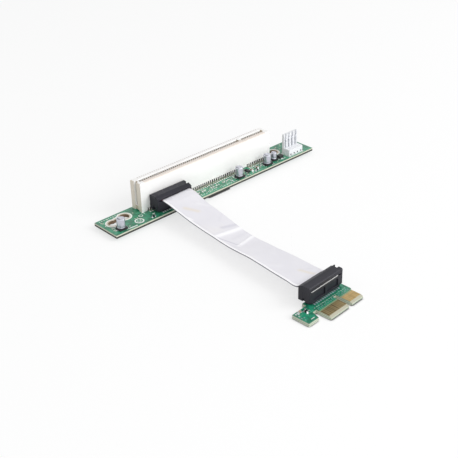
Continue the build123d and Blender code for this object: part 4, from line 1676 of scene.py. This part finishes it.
@dataclass
class Studio:
    """A plain white floor, soft light and the camera at the photograph's angle."""

    image: float = 458.0
    focal: float = 870.23
    shift: tuple[float, float] = (-39.40, -9.67)
    eye: tuple[float, float, float] = (-254.368, -239.513, 200.975)
    azimuth: float = -0.785965
    elevation: float = 0.515097
    roll: float = -0.0072674
    sensor: float = 36.0
    nearest: float = 0.01
    sky: float = 0.60
    glow: float = 0.64
    contact: float = 1.3
    reach: float = 4.0
    lamps: tuple[Lamp, ...] = (
        Lamp("key", (0.80, -1.32, 1.12), 1.10, 19.5),
        Lamp("fill", (-0.60, -1.40, 0.84), 1.60, 7.0, (0.97, 0.985, 1.0)),
    )

    def build_camera(self) -> None:
        """Sets the camera from the fitted angles: forward, right and up as the three axes."""
        ce, se = math.cos(self.elevation), math.sin(self.elevation)
        forward = Vector((-math.sin(self.azimuth) * ce, math.cos(self.azimuth) * ce, -se))
        right = forward.cross(UP).normalized()
        up = right.cross(forward)
        cr, sr = math.cos(self.roll), math.sin(self.roll)
        side, top = right * cr + up * sr, up * cr - right * sr
        data = bpy.data.cameras.new("camera")
        data.sensor_width = self.sensor
        data.lens = self.focal / self.image * self.sensor
        data.shift_x, data.shift_y = self.shift[0] / self.image, self.shift[1] / self.image
        data.clip_start = self.nearest
        camera = show("camera", data)
        turn = Matrix((side, top, -forward)).transposed().to_4x4()
        camera.matrix_world = Matrix.Translation(Vector(self.eye) * MM) @ turn
        bpy.context.scene.camera = camera

    def build_world(self) -> None:
        """An even sky that is plain white where it is seen or mirrored."""
        world = bpy.data.worlds.new("studio")
        bpy.context.scene.world = world
        bench = Bench(world)
        strength = bench.level(bench.seen(), self.sky, 1.0)
        sky = bench.node("Background", {"Color": (1.0, 1.0, 1.0), "Strength": strength})
        bench.node("OutputWorld", {"Surface": sky.outputs[0]})

    def build_floor(self) -> None:
        """A wide level floor; where it is seen or mirrored it is white and keeps its shadows.

        The white comes mostly from a glow, and it dims where the part stands close over it, a
        painted contact shadow.
        """
        mesh = bpy.data.meshes.new("floor")
        corners = np.pad(CORNERS * self.reach, ((0, 0), (0, 1)))
        mesh.from_pydata(corners.tolist(), [], [(0, 1, 2, 3)])
        bench = Bench(bpy.data.materials.new("floor_paper"))
        paper = bench.mix(bench.noise(9, 2), (0.84, 0.84, 0.84), (0.86, 0.86, 0.86))
        plain = bench.node("BsdfDiffuse", {"Color": paper})
        # Painted contact shadow: occlusion close to the part dims the glow and the white
        nearby = bench.node("AmbientOcclusion", {"Distance": self.contact * MM}, samples=8)
        lit = bench.ramp(nearby.outputs["AO"], 0.30, 0.95)
        glow = bench.node("Emission", {"Color": (1.0, 1.0, 1.0), "Strength": lit})
        shaded = bench.mix(lit, (0.3, 0.3, 0.3), (1.0, 1.0, 1.0))
        white = bench.node("BsdfDiffuse", {"Color": shaded})
        shown = bench.node("MixShader", {0: self.glow, 1: white.outputs[0], 2: glow.outputs[0]})
        both = bench.node("MixShader", {0: bench.seen(), 1: plain.outputs[0], 2: shown.outputs[0]})
        bench.node("OutputMaterial", {"Surface": both.outputs[0]})
        mesh.materials.append(bench.owner)
        floor = show("floor", mesh)

    def build(self) -> None:
        """Sets the camera, world, floor and lamps."""
        bpy.context.scene.view_settings.view_transform = "Standard"
        self.build_camera()
        self.build_world()
        self.build_floor()
        for lamp in self.lamps:
            lamp.build()


def main() -> None:
    """Builds the studio, then each sub-assembly."""
    logging.basicConfig(level=logging.INFO, format="%(message)s")
    Studio().build()
    CardSlot().build()
    cans = (
        CanCapacitor(1, (5.6, 3.8)),
        CanCapacitor(2, (79.0, 3.25)),
        CanCapacitor(3, (99.2, 3.55)),
        CanCapacitor(4, (105.1, 4.5), radius=1.5, height=4.3),
    )
    RiserBoard(cans).build()
    CableConnector("riser", RISER_DECK, (36.35, 8.3), -1, 3.95, SOLDER).build()
    CableConnector("edge", EDGE_DECK, (10.05, 10.9), 1, 1.83, PAINTED_SHADE_SOLDER).build()
    route = CableRoute()
    FoilWrap(route).build(FlatCable(route).build())
    EdgeCard().build()
    for can in cans:
        can.build()
    PowerHeader().build()
    SmallParts().build()


if __name__ == "__main__":
    main()
